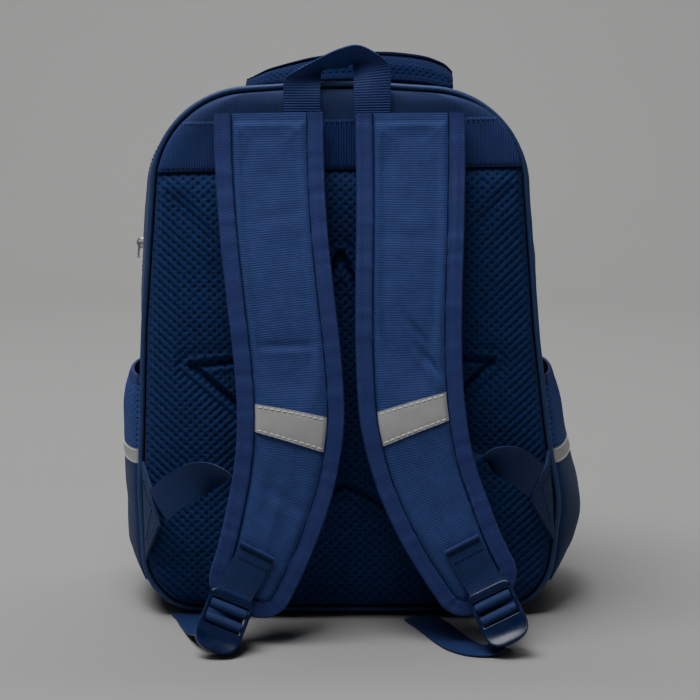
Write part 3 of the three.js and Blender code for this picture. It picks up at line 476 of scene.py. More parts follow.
def creased(a, b, creases):
    """Depth of slanting creases, each with a low ridge beside it."""
    total = np.zeros(np.broadcast(a, b).shape)
    for a0, b0, degrees, length, width, depth in creases:
        way = np.radians(degrees)
        along = (a - a0) * np.cos(way) + (b - b0) * np.sin(way)
        off = (b - b0) * np.cos(way) - (a - a0) * np.sin(way)
        section = CREASE_RIDGE * bell(off - 2 * width, width) - bell(off, width)
        total += depth * bell(along, length) * section
    return total


class Spline:
    """A smooth curve through points, read by its share of rows or by the length along it."""

    def __init__(self, points):
        p = np.asarray(points, float)
        self.spans = len(p) - 1
        ends = np.vstack([2 * p[0] - p[1], p, 2 * p[-1] - p[-2]])
        step = np.sqrt(np.linalg.norm(np.diff(ends, axis=0), axis=1))[:, None]
        a, b, c, d = ends[:-3], ends[1:-2], ends[2:-1], ends[3:]
        e, f, g = step[:-2], step[1:-1], step[2:]
        leave = ((b - a) / e - (c - a) / (e + f) + (c - b) / f) * f
        arrive = ((c - b) / f - (d - b) / (f + g) + (d - c) / g) * f
        self.terms = (b, leave, 3 * (c - b) - 2 * leave - arrive, 2 * (b - c) + leave + arrive)
        self.t = np.linspace(0, 1, self.spans * 60 + 1)
        self.s = run_along(self.at(self.t))
        self.length = self.s[-1]

    def split(self, t):
        rows = np.clip(np.asarray(t, float), 0, 1) * self.spans
        k = np.minimum(rows.astype(int), self.spans - 1)
        return k, (rows - k)[..., None]

    def at(self, t):
        k, f = self.split(t)
        a, b, c, d = (term[k] for term in self.terms)
        return a + f * (b + f * (c + f * d))

    def tangent(self, t):
        k, f = self.split(t)
        b, c, d = (term[k] for term in self.terms[1:])
        return unit(b + f * (2 * c + f * 3 * d))

    def share(self, s):
        return np.interp(s, self.s, self.t)

    def between(self, values, t):
        """Values given at the rows, on straight lines between them."""
        return np.interp(np.asarray(t) * self.spans, np.arange(self.spans + 1), values)


class Seam:
    """A rounded outline seen along Y, from the middle of its base up the left side and round."""

    def __init__(self, corners, steps=48):
        spots = np.array([corner[:2] for corner in corners], float)
        base = np.array([(spots[0, 0] + spots[-1, 0]) / 2, spots[0, 1]])
        points, ways = [base[None]], [np.array([[-1.0, 0]])]
        for i, (_, _, radius) in enumerate(corners):
            back = unit(spots[i - 1] - spots[i])
            ahead = unit(spots[(i + 1) % len(spots)] - spots[i])
            half = math.acos(back @ ahead) / 2
            centre = spots[i] + unit(back + ahead) * radius / math.sin(half)
            start, end = (spots[i] + way * radius / math.tan(half) - centre for way in (back, ahead))
            first = math.atan2(start[1], start[0])
            sweep = (math.atan2(end[1], end[0]) - first + math.pi) % (2 * math.pi) - math.pi
            angles = first + sweep * np.linspace(0, 1, steps)
            turn = np.stack([np.cos(angles), np.sin(angles)], -1)
            points.append(centre + radius * turn)
            ways.append(np.sign(sweep) * np.stack([-turn[:, 1], turn[:, 0]], -1))
        self.points = np.vstack(points + [base[None]])
        self.ways = np.vstack(ways + [ways[0]])
        self.length = np.linalg.norm(np.diff(self.points, axis=0), axis=1).sum()
        self.s = run_along(self.points) / self.length

    def read(self, s):
        """Places and outward directions at shares of the length."""
        s = np.clip(s, 0, 1)
        spot = np.stack([np.interp(s, self.s, column) for column in self.points.T], -1)
        way = unit(np.stack([np.interp(s, self.s, column) for column in self.ways.T], -1))
        return spot, np.stack([-way[..., 1], way[..., 0]], -1)

    def inset(self, s, by):
        p, n = self.read(s)
        return p - n * by

    def on_side(self, z, side, by=0, steps=6000):
        """Share of the length at which the line, set in by some millimetres, has a height."""
        s = np.linspace(0 if side < 0 else 1, 0.5, steps)
        return np.interp(z, np.maximum.accumulate(self.inset(s, by)[:, 1]), s)


BACK = Seam(BACK_CORNERS)
FRONT = Seam(FRONT_CORNERS)


def gusset_point(s, t, lift=0.0):
    """A place lifted off the gusset, at a share s along the seams and t from back to front."""
    s, t, lift = np.broadcast_arrays(np.mod(s, 1.0), np.asarray(t, float), np.asarray(lift, float))
    a, n = BACK.read(s)
    b = FRONT.read(s)[0]
    at_zip = smoothstep(a[..., 1], *BULGE_Z)
    left, right = (lerp(*SIDE_BULGE[name], at_zip) for name in SIDES)
    bulge = np.where(n[..., 0] < 0, left, right) * np.abs(n[..., 0]) ** 3
    bulge = bulge + BASE_BULGE * np.maximum(0, -n[..., 1]) + TOP_BULGE * np.maximum(0, n[..., 1])
    off = np.sin(np.pi * np.clip(t, 0, 1)) ** 0.7 * bulge + lift
    x = lerp(a[..., 0], b[..., 0], t) + n[..., 0] * off
    z = lerp(a[..., 1], b[..., 1], t) + n[..., 1] * off
    return np.stack([x, t * DEPTH, np.maximum(z, np.maximum(-lift, 0))], -1)


def gusset_normal(s, t):
    return unit(gusset_point(s, t, 1.0) - gusset_point(s, t, 0.0))


# Parts of pieces: each is points, faces and cloth coordinates


def facing_out(points, faces):
    a, b, c, d = (points[[face[k] for face in faces]] for k in (0, 1, 2, -1))
    volume = np.einsum("ij,ij->", a, np.cross(b, c)) + np.einsum("ij,ij->", a, np.cross(c, d))
    return [list(face)[::-1] for face in faces] if volume < 0 else [list(face) for face in faces]


def grid_faces(rows, cols):
    i = np.arange(rows * cols).reshape(rows, cols)
    return np.stack([i[:-1, :-1], i[:-1, 1:], i[1:, 1:], i[1:, :-1]], -1).reshape(-1, 4)


def rim_of(rows, cols):
    i = np.arange(rows * cols).reshape(rows, cols)
    return np.concatenate([i[0, :-1], i[:-1, -1], i[-1, :0:-1], i[:0:-1, 0]])


def ring_faces(count, sides, closed=False):
    """Faces round a row of rings, with a cap on each end unless the row is closed."""
    i = np.arange(count * sides).reshape(count, sides)
    i = np.vstack([i, i[:1]]) if closed else i
    j = np.roll(i, -1, 1)
    faces = np.stack([i[:-1], j[:-1], j[1:], i[1:]], -1).reshape(-1, 4).tolist()
    return faces if closed else faces + [i[0][::-1].tolist(), i[-1].tolist()]


def shell(outer, inner, uv):
    """A closed wall between two matching grids of points."""
    rows, cols = outer.shape[:2]
    half = rows * cols
    quads, rim = grid_faces(rows, cols), rim_of(rows, cols)
    after = np.roll(rim, -1)
    sides = np.stack([after, rim, rim + half, after + half], -1)
    points = np.vstack([outer.reshape(-1, 3), inner.reshape(-1, 3)])
    faces = facing_out(points, np.vstack([quads, quads[:, ::-1] + half, sides]))
    return points, faces, np.tile(uv.reshape(-1, 2), (2, 1))


def backed(outer, out_of_back, uv):
    """A grid with a skirt down to a flat back."""
    rows, cols = outer.shape[:2]
    rim = rim_of(rows, cols)
    number = np.arange(len(rim))
    after = np.roll(number, -1)
    points, flat = outer.reshape(-1, 3), uv.reshape(-1, 2)
    base = points[rim].copy()
    base[:, 1] = -out_of_back
    skirt = np.stack([rim[after], rim, rows * cols + number, rows * cols + after], -1)
    points = np.vstack([points, base])
    faces = facing_out(points, np.vstack([grid_faces(rows, cols), skirt]))
    return points, faces, np.vstack([flat, flat[rim]])


def tape(a, b, normal, cols):
    """Webbing between its two edges, with thin selvedges."""
    v = np.linspace(-1, 1, cols)[None]
    lift = 0.5 * WEBBING_THICK * (1 - 0.45 * np.abs(v) ** 6)
    middle = lerp(a[:, None], b[:, None], (0.5 + 0.5 * v)[..., None])
    up = normal[:, None] * lift[..., None]
    half = np.linalg.norm(b - a, axis=1)[:, None] / 2
    return shell(middle + up, middle - up, joined(run_along((a + b) / 2)[:, None], v * half))


def ribbon(rows, step):
    """Webbing along rows of places, each with the direction of its width."""
    rows = np.asarray(rows, float)
    curve = Spline(place(*rows[:, :3].T))
    t = curve.share(np.linspace(0, curve.length, int(curve.length / step)))
    middle, tangent = curve.at(t), curve.tangent(t)
    across = unit(place(*rows[:, 3:].T))
    side = np.stack([curve.between(column, t) for column in across.T], -1)
    side = unit(side - tangent * np.sum(side * tangent, -1, keepdims=True))
    reach = side * WEBBING_WIDTH / 2
    return tape(middle - reach, middle + reach, np.cross(tangent, side), 9)


def tube(path, radius, sides, closed=False):
    """A round cord along a path."""
    ahead = np.roll(path, -1, 0) - np.roll(path, 1, 0)
    if not closed:
        ahead[0], ahead[-1] = path[1] - path[0], path[-1] - path[-2]
    ahead = unit(ahead)
    side = unit(np.cross(ahead, np.array([0.0, 1.0, 0.0])))
    up = np.cross(side, ahead)
    angle = np.linspace(0, 2 * np.pi, sides, endpoint=False)
    ring = np.cos(angle)[None, :, None] * side[:, None] + np.sin(angle)[None, :, None] * up[:, None]
    points = (path[:, None] + np.reshape(radius, (-1, 1, 1)) * ring).reshape(-1, 3)
    uv = joined(run_along(path)[:, None], (angle * np.max(radius))[None]).reshape(-1, 2)
    return points, facing_out(points, ring_faces(len(path), sides, closed)), uv


def folded(flat, level, dents, fold_x, bulge, steps):
    """Section of a tape over an edge: along one face, round the fold and back along the other."""
    bend = np.linspace(-np.pi / 2, np.pi / 2, steps)[1:-1]
    face = np.stack([flat, level - dents], -1)
    turn = np.stack([fold_x + level * bulge * np.cos(bend), -level * np.sin(bend)], -1)
    return np.vstack([face, turn, face[::-1] * [1, -1]])


def stitches(path, normal, kind, slant=0.0):
    """A row of thread stitches along a path that lies on cloth with a normal."""
    pitch, length, width, height = STITCHES[kind]
    run = run_along(path)
    count = max(1, int(run[-1] / pitch))
    spots = (np.arange(count) + 0.5) * run[-1] / count

    def at(values, s):
        return np.stack([np.interp(s, run, column) for column in values.T], -1)

    ahead = unit(at(path, spots + 0.5) - at(path, spots - 0.5))
    up = unit(at(np.broadcast_to(normal, path.shape), spots))
    side = unit(np.cross(ahead, up))
    along = ahead * math.cos(slant) + side * math.sin(slant)
    across = side * math.cos(slant) - ahead * math.sin(slant)

    rings, sides = 4, 6
    angle = np.tile(np.arange(sides) * 2 * np.pi / sides, rings)
    reach = np.repeat([-0.5, -0.32, 0.32, 0.5], sides) * length
    thick = np.repeat([0.45, 1, 1, 0.45], sides)
    shape = np.stack([reach, thick * width / 2 * np.cos(angle), thick * height * np.sin(angle)], -1)
    axes = np.stack([along, across, up], 1)
    points = at(path, spots)[:, None] + np.einsum("kj,njd->nkd", shape, axes)
    one = facing_out(shape, ring_faces(rings, sides))
    faces = [[len(shape) * n + k for k in face] for n in range(count) for face in one]
    return points.reshape(-1, 3), faces, np.zeros((count * len(shape), 2))


# Objects


def shown(name, data):
    """A new object in the scene."""
    thing = bpy.data.objects.new(name, data)
    bpy.context.scene.collection.objects.link(thing)
    return thing


def mesh_of(name, points, faces):
    mesh = bpy.data.meshes.new(name)
    mesh.from_pydata(points.tolist(), [], faces)
    return mesh


def build(name, parts, node, crease=40):
    """One piece from parts, each with its finish, or with a list of one for each of its faces."""
    points, faces, uv, finishes = [], [], [], []
    start = 0
    for (part_points, part_faces, part_uv), finish in parts:
        points.append(part_points)
        uv.append(part_uv)
        faces += [[start + k for k in face] for face in part_faces]
        finishes += finish if isinstance(finish, list) else [finish] * len(part_faces)
        start += len(part_points)
    mesh = mesh_of(name, (np.vstack(points) + SEAM_PLANE) * MM, faces)
    weave = mesh.uv_layers.new(name="weave")
    corners = np.empty(len(mesh.loops), int)
    mesh.loops.foreach_get("vertex_index", corners)
    weave.data.foreach_set("uv", (np.vstack(uv)[corners] * MM).ravel())
    numbers = {finish: number for number, finish in enumerate(dict.fromkeys(finishes))}
    for finish in numbers:
        mesh.materials.append(finish)
    mesh.polygons.foreach_set("material_index", [numbers[finish] for finish in finishes])
    mesh.polygons.foreach_set("use_smooth", [True] * len(faces))
    mesh.set_sharp_from_angle(angle=math.radians(crease))
    mesh.validate()
    piece = shown(name, mesh)
    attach(piece, "bag")
    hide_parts(node)
    return piece


def puffed(points, held, cap):
    """How far each point of a coarse cloth grid moves as it swells while its sewn lines are held."""
    flat = points.reshape(-1, 3) * MM
    cloth = shown("swelling", mesh_of("swelling", flat, grid_faces(*points.shape[:2]).tolist()))
    sewn = cloth.vertex_groups.new(name="sewn")
    sewn.add(np.flatnonzero(held.ravel()).tolist(), 1.0, "ADD")
    modifier = cloth.modifiers.new("swell", "CLOTH")
    settings = modifier.settings
    settings.vertex_group_mass = "sewn"
    settings.use_pressure = True
    settings.uniform_pressure_force = PRESSURE
    settings.effector_weights.gravity = 0
    settings.quality = 5
    modifier.point_cache.frame_start = 1
    modifier.point_cache.frame_end = SWELL_FRAMES
    for number in range(1, SWELL_FRAMES + 1):
        bpy.context.scene.frame_set(number)
    solved = cloth.evaluated_get(bpy.context.evaluated_depsgraph_get())
    moved = np.empty(len(flat) * 3)
    solved.data.vertices.foreach_get("co", moved)
    bpy.data.objects.remove(cloth)
    bpy.context.scene.frame_set(1)
    shift = (moved.reshape(-1, 3) - flat) / MM
    size = np.linalg.norm(shift, axis=1, keepdims=True)
    return (shift * np.minimum(1, cap / np.maximum(size, 1e-6))).reshape(points.shape)


def solved_mesh(thing):
    """Points and faces of an object after its modifiers; the object itself is removed."""
    mesh = bpy.data.meshes.new_from_object(thing.evaluated_get(bpy.context.evaluated_depsgraph_get()))
    bpy.data.objects.remove(thing)
    points = np.array([vertex.co[:] for vertex in mesh.vertices]) / MM
    return points, [list(face.vertices) for face in mesh.polygons]


# Finishes


class Finish:
    """A procedural material that reads a piece's cloth coordinates, in metres."""

    def __init__(self, name, **sockets):
        self.material = bpy.data.materials.new(name)
        self.material.use_nodes = True
        self.tree = self.material.node_tree
        self.shader = self.tree.nodes["Principled BSDF"]
        for key, value in sockets.items():
            self.shader.inputs[key.replace("_", " ")].default_value = value
        coordinates = self.node("ShaderNodeUVMap", uv_map="weave").outputs["UV"]
        split = self.node("ShaderNodeSeparateXYZ", coordinates)
        self.u, self.v = split.outputs[0], split.outputs[1]
        self.place = self.node("ShaderNodeTexCoord").outputs["Object"]

    def node(self, kind, *values, **settings):
        node = self.tree.nodes.new(kind)
        for key, value in settings.items():
            setattr(node, key, value)
        for socket, value in zip(node.inputs, values):
            self.put(value, socket)
        return node

    def put(self, value, socket):
        if isinstance(value, bpy.types.NodeSocket):
            self.tree.links.new(value, socket)
        else:
            socket.default_value = value

    def math(self, operation, *values):
        return self.node("ShaderNodeMath", *values, operation=operation).outputs[0]

    def mixed(self, a, share, b, other):
        """The sum of two patterns, each times its share."""
        return self.math("MULTIPLY_ADD", a, share, self.math("MULTIPLY", b, other))

    def wave(self, coordinate, pitch, shift=0.0):
        """A smooth ripple from 0 to 1 with a pitch in millimetres."""
        turn = self.math("MULTIPLY_ADD", coordinate, 2 * math.pi / (pitch * MM), shift)
        return self.math("MULTIPLY_ADD", self.math("COSINE", turn), 0.5, 0.5)

    def noise(self, size, detail=3.0):
        """Cloudy values from 0 to 1 with a size in millimetres."""
        node = self.node("ShaderNodeTexNoise")
        self.put(self.place, node.inputs["Vector"])
        node.inputs["Scale"].default_value = 1 / (size * MM)
        node.inputs["Detail"].default_value = detail
        return node.outputs[0]

    def between(self, value, low, high, start, end):
        node = self.node("ShaderNodeMapRange", value, low, high, start, end, interpolation_type="SMOOTHSTEP")
        return node.outputs[0]

    def made(self, tone, colors, relief, depth, wear, rough):
        """The material: a tone between two colours, a relief in millimetres and a worn roughness."""
        mix = self.node("ShaderNodeMix", data_type="RGBA")
        self.put(tone, mix.inputs["Factor"])
        dark, light = (socket for socket in mix.inputs if socket.type == "RGBA")
        dark.default_value, light.default_value = colors
        bump = self.node("ShaderNodeBump")
        bump.inputs["Strength"].default_value = 1.0
        bump.inputs["Distance"].default_value = depth * MM
        self.put(relief, bump.inputs["Height"])
        shader = self.shader.inputs
        self.put(next(socket for socket in mix.outputs if socket.type == "RGBA"), shader["Base Color"])
        self.put(bump.outputs["Normal"], shader["Normal"])
        self.put(self.between(wear, 0.0, 1.0, *rough), shader["Roughness"])
        return self.material


def shades(color, low=0.72, high=1.28):
    """A darker and a lighter tone of one colour."""
    return [(*[min(1.0, c * k) for c in color], 1.0) for k in (low, high)]


def ribbed_cloth(name, color):
    """Polyester with fine ribs, spaced along the cloth coordinate v."""
    f = Finish(name, Sheen_Weight=0.05, Sheen_Roughness=0.4, Specular_IOR_Level=0.25)
    even = f.between(f.noise(5), 0.3, 0.7, 0.4, 1.0)
    rib = f.math("MULTIPLY", f.wave(f.v, 1.65), even)
    clouds = f.noise(9)
    tone = f.mixed(clouds, 0.55, rib, 0.45)
    relief = f.math("MULTIPLY_ADD", f.wave(f.u, 0.62), 0.25, rib)
    return f.made(tone, shades(color, 0.68, 1.36), relief, 0.18, clouds, (0.6, 0.82))


def oxford_cloth():
    """Plain basket weave of the bag's walls."""
    f = Finish("oxford_cloth", Sheen_Weight=0.05, Sheen_Roughness=0.45, Specular_IOR_Level=0.25)
    weave, across = (
        f.math("MULTIPLY", f.wave(f.u, 1.1, shift), f.wave(f.v, 1.1, shift)) for shift in (0.0, math.pi)
    )
    basket = f.math("ADD", weave, across)
    clouds = f.noise(14)
    return f.made(f.mixed(clouds, 0.55, basket, 0.45), shades(WALLS), basket, 0.18, clouds, (0.58, 0.82))


def open_mesh(name, pitch, color, depth):
    """Knitted air mesh with staggered holes, darkened in colour in the holes: partly their own darker
    colour, partly painted shade in them.
    """
    f = Finish(name, Sheen_Weight=0.02, Sheen_Roughness=0.5, Specular_IOR_Level=0.12)
    a, b = (
        f.math("COSINE", f.math("MULTIPLY", coordinate, 2 * math.pi / (size * MM)))
        for coordinate, size in zip((f.u, f.v), pitch)
    )
    # solid is 1 on the knit and 0.35 in the holes: it lowers the relief there and darkens the colour there,
    # the darkening partly painted shade in the holes.
    solid = f.between(f.math("MULTIPLY", a, b), 0.1, 0.95, 1.0, 0.35)
    knit = f.math("MULTIPLY", f.wave(f.u, pitch[0] / 6), f.wave(f.v, pitch[1] / 4))
    clouds = f.noise(6)
    tone = f.math("MULTIPLY_ADD", knit, 0.3, f.math("MULTIPLY_ADD", clouds, 0.5, 0.2))
    relief = f.math("MULTIPLY_ADD", knit, 0.15, solid)
    colors = shades(color, 0.2, 1.35)
    return f.made(f.math("MULTIPLY", tone, solid), colors, relief, depth, clouds, (0.7, 0.95))


def twill_tape(name, color, shine):
    """Binding with a fine herringbone along it."""
    f = Finish(name, Sheen_Weight=0.02, Sheen_Roughness=0.35, Specular_IOR_Level=shine)
    zigzag = f.math("PINGPONG", f.v, 3.2 * MM)
    twill = f.wave(f.math("ADD", f.u, zigzag), 1.9)
    clouds = f.noise(8)
    return f.made(f.mixed(clouds, 0.5, twill, 0.5), shades(color), twill, 0.2, clouds, (0.5, 0.72))


def ribbed_webbing():
    """Webbing with ribs across its length and fine threads along it."""
    f = Finish("ribbed_webbing", Sheen_Weight=0.05, Sheen_Roughness=0.35, Specular_IOR_Level=0.3)
    rib = f.wave(f.u, BAND_RIB["pitch"])
    clouds = f.noise(7)
    tone = f.mixed(clouds, 0.4, rib, 0.6)
    relief = f.math("MULTIPLY_ADD", f.wave(f.v, 0.9), 0.3, rib)
    return f.made(tone, shades(BAND, 0.7, 1.3), relief, 0.28, clouds, (0.5, 0.72))


def twill_webbing():
    """Flat webbing with a fine diagonal weave."""
    f = Finish("twill_webbing", Sheen_Weight=0.05, Sheen_Roughness=0.35, Specular_IOR_Level=0.3)
    one, other = (f.wave(f.math(way, f.u, f.v), 1.5) for way in ("ADD", "SUBTRACT"))
    weave = f.math("MULTIPLY", one, other)
    clouds = f.noise(7)
    tone = f.mixed(clouds, 0.5, weave, 0.6)
    return f.made(tone, shades(WEBBING, 0.7, 1.35), weave, 0.2, clouds, (0.5, 0.72))


def piping_cover():
    f = Finish("piping_cover", Sheen_Weight=0.04, Specular_IOR_Level=0.4)
    clouds = f.noise(5)
    weave = f.wave(f.u, 0.7)
    tone, relief = (f.mixed(clouds, 0.6, weave, share) for share in (0.3, 0.2))
    return f.made(tone, shades(CORD), relief, 0.25, clouds, (0.42, 0.62))


def silver_tape():
    """Grey reflective tape with a grain of glass beads and scuffs."""
    f = Finish("silver_tape", Specular_IOR_Level=0.4)
    grain = f.noise(0.7, 2.0)
    scuffs = f.noise(11, 5.0)
    tone = f.mixed(grain, 0.35, scuffs, 0.7)
    return f.made(tone, shades(SILVER_GREY, 0.85, 1.15), grain, 0.06, scuffs, (0.4, 0.6))


def thread_of(name, color):
    f = Finish(name, Specular_IOR_Level=0.12)
    return f.made(f.noise(1.5), shades(color), f.noise(0.4, 2.0), 0.05, f.noise(3), (0.5, 0.7))


def moulded_plastic():
    f = Finish("moulded_plastic", Specular_IOR_Level=0.35, Coat_Weight=0.06, Coat_Roughness=0.1)
    wear = f.noise(6, 5.0)
    return f.made(wear, shades(MOULDED), f.noise(0.8, 4.0), 0.03, wear, (0.2, 0.32))


def plated_metal():
    f = Finish("plated_metal", Metallic=1.0)
    wear = f.noise(2.5, 5.0)
    return f.made(wear, shades(PLATING, 0.8, 1.2), f.noise(0.6, 3.0), 0.02, wear, (0.16, 0.36))


def studio_paper():
    f = Finish("studio_paper", Specular_IOR_Level=0.15)
    clouds = f.noise(260)
    return f.made(clouds, shades(BACKDROP, 0.98, 1.02), f.noise(1.2, 2.0), 0.02, clouds, (0.75, 0.9))


RIBBED = ribbed_cloth("ribbed_cloth", CLOTH)
YOKE_RIBBED = ribbed_cloth("yoke_cloth", YOKE)
OXFORD = oxford_cloth()
AIR_MESH = open_mesh("air_mesh", HOLE_PITCH, MESH, 0.35)
FINE_MESH = open_mesh("handle_mesh", (4.6, 4.2), HANDLE_MESH, 0.9)
POCKET_NET = open_mesh("pocket_knit", (4.4, 4.0), NET, 0.8)
TWILL = twill_tape("twill_tape", TAPE, 0.22)
DARK_TWILL = twill_tape("handle_twill", HANDLE_TAPE, 0.04)
RIBBED_WEB = ribbed_webbing()
FLAT_WEB = twill_webbing()
PIPING = piping_cover()
SILVER = silver_tape()
WHITE_THREAD = thread_of("white_thread", WHITE)
NAVY_THREAD = thread_of("navy_thread", NAVY)
PLASTIC = moulded_plastic()
METAL = plated_metal()
PAPER = studio_paper()


# Back panel


def panel_grid(base_z, top_z, rows, cols, seam=BACK, inset=PANEL_INSET):
    """Places of a grid across the panel, and how far each is from the panel's sides."""
    z = np.linspace(base_z, top_z, rows)
    left, right = (seam.inset(seam.on_side(z, side, inset), inset)[:, :1] for side in (-1, 1))
    x = lerp(left, right, np.linspace(0, 1, cols)[None])
    return x, np.broadcast_to(z[:, None], x.shape), np.minimum(x - left, right - x)


def star_distance(x, z):
    """Distance from the sewn line of the star."""
    number = np.arange(11)
    angle = np.pi / 2 + STAR["turn"] + number * np.pi / 5
    reach = np.where(number % 2, STAR["notch"], STAR["tip"])
    corners = np.stack([STAR["x"] + reach * np.cos(angle), STAR["z"] + reach * np.sin(angle)], -1)
    spot = np.stack([x, z], -1)
    nearest = np.full(x.shape, np.inf)
    for a, b in zip(corners[:-1], corners[1:]):
        k = np.clip((spot - a) @ (b - a) / ((b - a) @ (b - a)), 0, 1)
        nearest = np.minimum(nearest, np.linalg.norm(spot - a - k[..., None] * (b - a), axis=-1))
    return nearest


def slanted(x, z):
    """Heights on the panel, with the band and what meets it a little higher on the right."""
    share = smoothstep(z, BAND_CLIMB["above_z"], BAND_Z[0]) * (1 - smoothstep(z, BAND_Z[1], YOKE_TOP_Z))
    return z + BAND_CLIMB["slope"] * (x - BAND_CLIMB["from_x"]) * share


def pad_rise(z, edge):
    ends = rounded(z - PAD_Z[0], PAD_ROUND) * rounded(PAD_Z[1] - z, PAD_ROUND * 0.6)
    return PAD_EDGE + (PAD_CROWN - PAD_EDGE) * rounded(edge, PAD_ROUND) * ends


def quilted_pad():
    """Mesh over foam, sewn down along the star, with a dimple at each hole of the mesh."""
    x, z, edge = panel_grid(*PAD_Z, *GRIDS["pad_swelling"])
    sewn = np.minimum(star_distance(x, z), edge) < PAD_HELD["line"]
    sewn = sewn | (z < PAD_Z[0] + PAD_HELD["end"]) | (z > PAD_Z[1] - PAD_HELD["end"])
    swell = puffed(place(x, pad_rise(z, edge) - STAR["sink"], z), sewn, PAD_SWELL)

    x, z, edge = panel_grid(*PAD_Z, *GRIDS["pad"])
    line = star_distance(x, z)
    inside = smoothstep(edge, 1, 6) * smoothstep(z - PAD_Z[0], 1, 6)
    out = pad_rise(z, edge) - STAR["sink"] + spread(-swell[..., 1], *x.shape)
    out = out + STAR["sink"] * (1 - bell(line, STAR["sink_width"])) * inside
    out = out - STAR["depth"] * bell(line, STAR["width"]) * inside
    out = out + STAR["ridge"] * bell(line - STAR["ridge_at"], STAR["ridge_width"]) * inside
    out = out + lumps("pad", x, z) * inside

    # Holes run together into slanting rows where the pad slopes sideways
    lean = np.clip(8 * np.gradient(out, axis=1) / np.gradient(x, axis=1), -1, 1)
    u, v = 2 * np.pi * x / HOLE_PITCH[0], 2 * np.pi * z / HOLE_PITCH[1]
    holes = 0.5 * ((1 + lean) * np.cos(u + v) + (1 - lean) * np.cos(u - v))
    out = out - HOLE_DEPTH * smoothstep(holes, 0.1, 0.95) * inside
    pad = backed(place(x, out, slanted(x, z)), PANEL_BACK, joined(x, z))
    piece = build("quilted_pad", [(pad, AIR_MESH)], "back_pad", crease=80)


def yoke_rise(edge, z):
    near = np.minimum(edge, (YOKE_TOP_Z - z) * 1.4)
    return YOKE_EDGE + (YOKE_CROWN - YOKE_EDGE) * rounded(near, YOKE_ROUND)


def yoke_cloth():
    x, z, edge = panel_grid(PAD_Z[1], YOKE_TOP_Z, *GRIDS["yoke"])
    out = yoke_rise(edge, z) + lumps("yoke", x, z) * smoothstep(edge, 2, 10)
    cloth = backed(place(x, out, slanted(x, z)), PANEL_BACK, joined(z, x))
    build("yoke_cloth", [(cloth, YOKE_RIBBED)], "back_yoke")


def ribbed_band():
    """Ribbed webbing over the foot of the yoke, sewn along both edges."""
    x, z, edge = panel_grid(*BAND_Z, *GRIDS["band"])
    from_end = np.minimum(z - BAND_Z[0], BAND_Z[1] - z)
    base = yoke_rise(edge, z) + GAP
    ribs = BAND_RIB["height"] * np.cos(2 * np.pi * x / BAND_RIB["pitch"]) * smoothstep(from_end, 0.6, 2.4)
    face = base + BAND_THICK * (0.55 + 0.45 * rounded(from_end, 1.6)) + ribs
    front, back = (place(x, out, slanted(x, z)) for out in (face, base))
    parts = [(shell(front, back, joined(x, z)), RIBBED_WEB)]
    for height in (BAND_Z[0] + BAND_SEWN, BAND_Z[1] - BAND_SEWN):
        x, z, edge = panel_grid(height, height, 1, 160)
        path = place(x, yoke_rise(edge, z) + GAP + BAND_THICK + 0.05, slanted(x, z))[0]
        parts.append((stitches(path, OUT, "band"), NAVY_THREAD))
    build("ribbed_band", parts, "back_band")


def seam_piping():
    s = np.linspace(0, 1, 520, endpoint=False)
    p, _ = BACK.read(s)
    swell = PIPING_R * (1 + lumps("piping", s * BACK.length, 0))
    cord = tube(place(p[:, 0], 0, p[:, 1]), swell, 14, closed=True)
    build("seam_piping", [(cord, PIPING)], "back_piping")


# Walls of the bag


def gusset_sheet(s, t, lift):
    """A cloth wall over shares of the seams, with a lift for each point of its grid."""
    s, t = s[:, None], t[None]
    uv = joined(s * BACK.length, t * DEPTH)
    return shell(gusset_point(s, t, lift), gusset_point(s, t, -WALL), uv)


def wrinkled(s, t):
    """Lift of a loose wall that lies flat along its sewn edges."""
    a, b = s[:, None] * BACK.length, t[None] * DEPTH
    hem = smoothstep(np.minimum(t - t.min(), t.max() - t), 0, 0.05)[None]
    return (lumps("wall", a, b) + lumps("wall_fine", a, b)) * hem


def gusset():
    left, right = (BACK.on_side(ZIP_END_Z, side) for side in (-1, 1))
    rows, cols = GRIDS["wall"]
    lower, t = np.linspace(right - 1, left, rows), np.linspace(SEAM_T, 1 - SEAM_T, cols)
    wall = gusset_sheet(lower, t, wrinkled(lower, t))
    build("gusset_wall", [(wall, OXFORD)], "gusset_lower")
    rows, cols = GRIDS["wall_strip"]
    upper = np.linspace(left, right, rows)
    for name, limits, sewn in (
        ("rear", (SEAM_T, ZIP_T[0]), ZIP_T[0] - ZIP_SEWN_T),
        ("front", (ZIP_T[1], 1 - SEAM_T), ZIP_T[1] + ZIP_SEWN_T),
    ):
        t = np.linspace(*limits, cols)
        lift = wrinkled(upper, t) + 0.9 * smoothstep(0.028 - np.abs(t - sewn), 0, 0.02)[None]
        strip = gusset_sheet(upper, t, lift)
        row = stitches(gusset_point(upper, sewn, 1.0), gusset_normal(upper, sewn), "wall")
        build(f"gusset_strip_{name}", [(strip, OXFORD), (row, NAVY_THREAD)], f"gusset_{name}")
    zip_tape(left, right)


def zip_tape(left, right):
    """Two tapes with a coil of teeth where they meet."""
    rows, cols = GRIDS["zip"]
    s, t = np.linspace(left, right, rows), np.linspace(*ZIP_T, cols)
    lift = 0.2 + 0.25 * smoothstep(0.03 - np.abs(t - 0.5), 0, 0.02)[None]
    parts = [(gusset_sheet(s, t, lift), FLAT_WEB)]
    for way, slant in ((-1, ZIP_TOOTH["slant"]), (1, math.pi - ZIP_TOOTH["slant"])):
        path = gusset_point(s, 0.5 + way * ZIP_TOOTH["shift_t"], ZIP_TOOTH["lift"])
        parts.append((stitches(path, gusset_normal(s, 0.5), "zip_tooth", slant), NAVY_THREAD))
    build("zip_tape", parts, "main_zip")


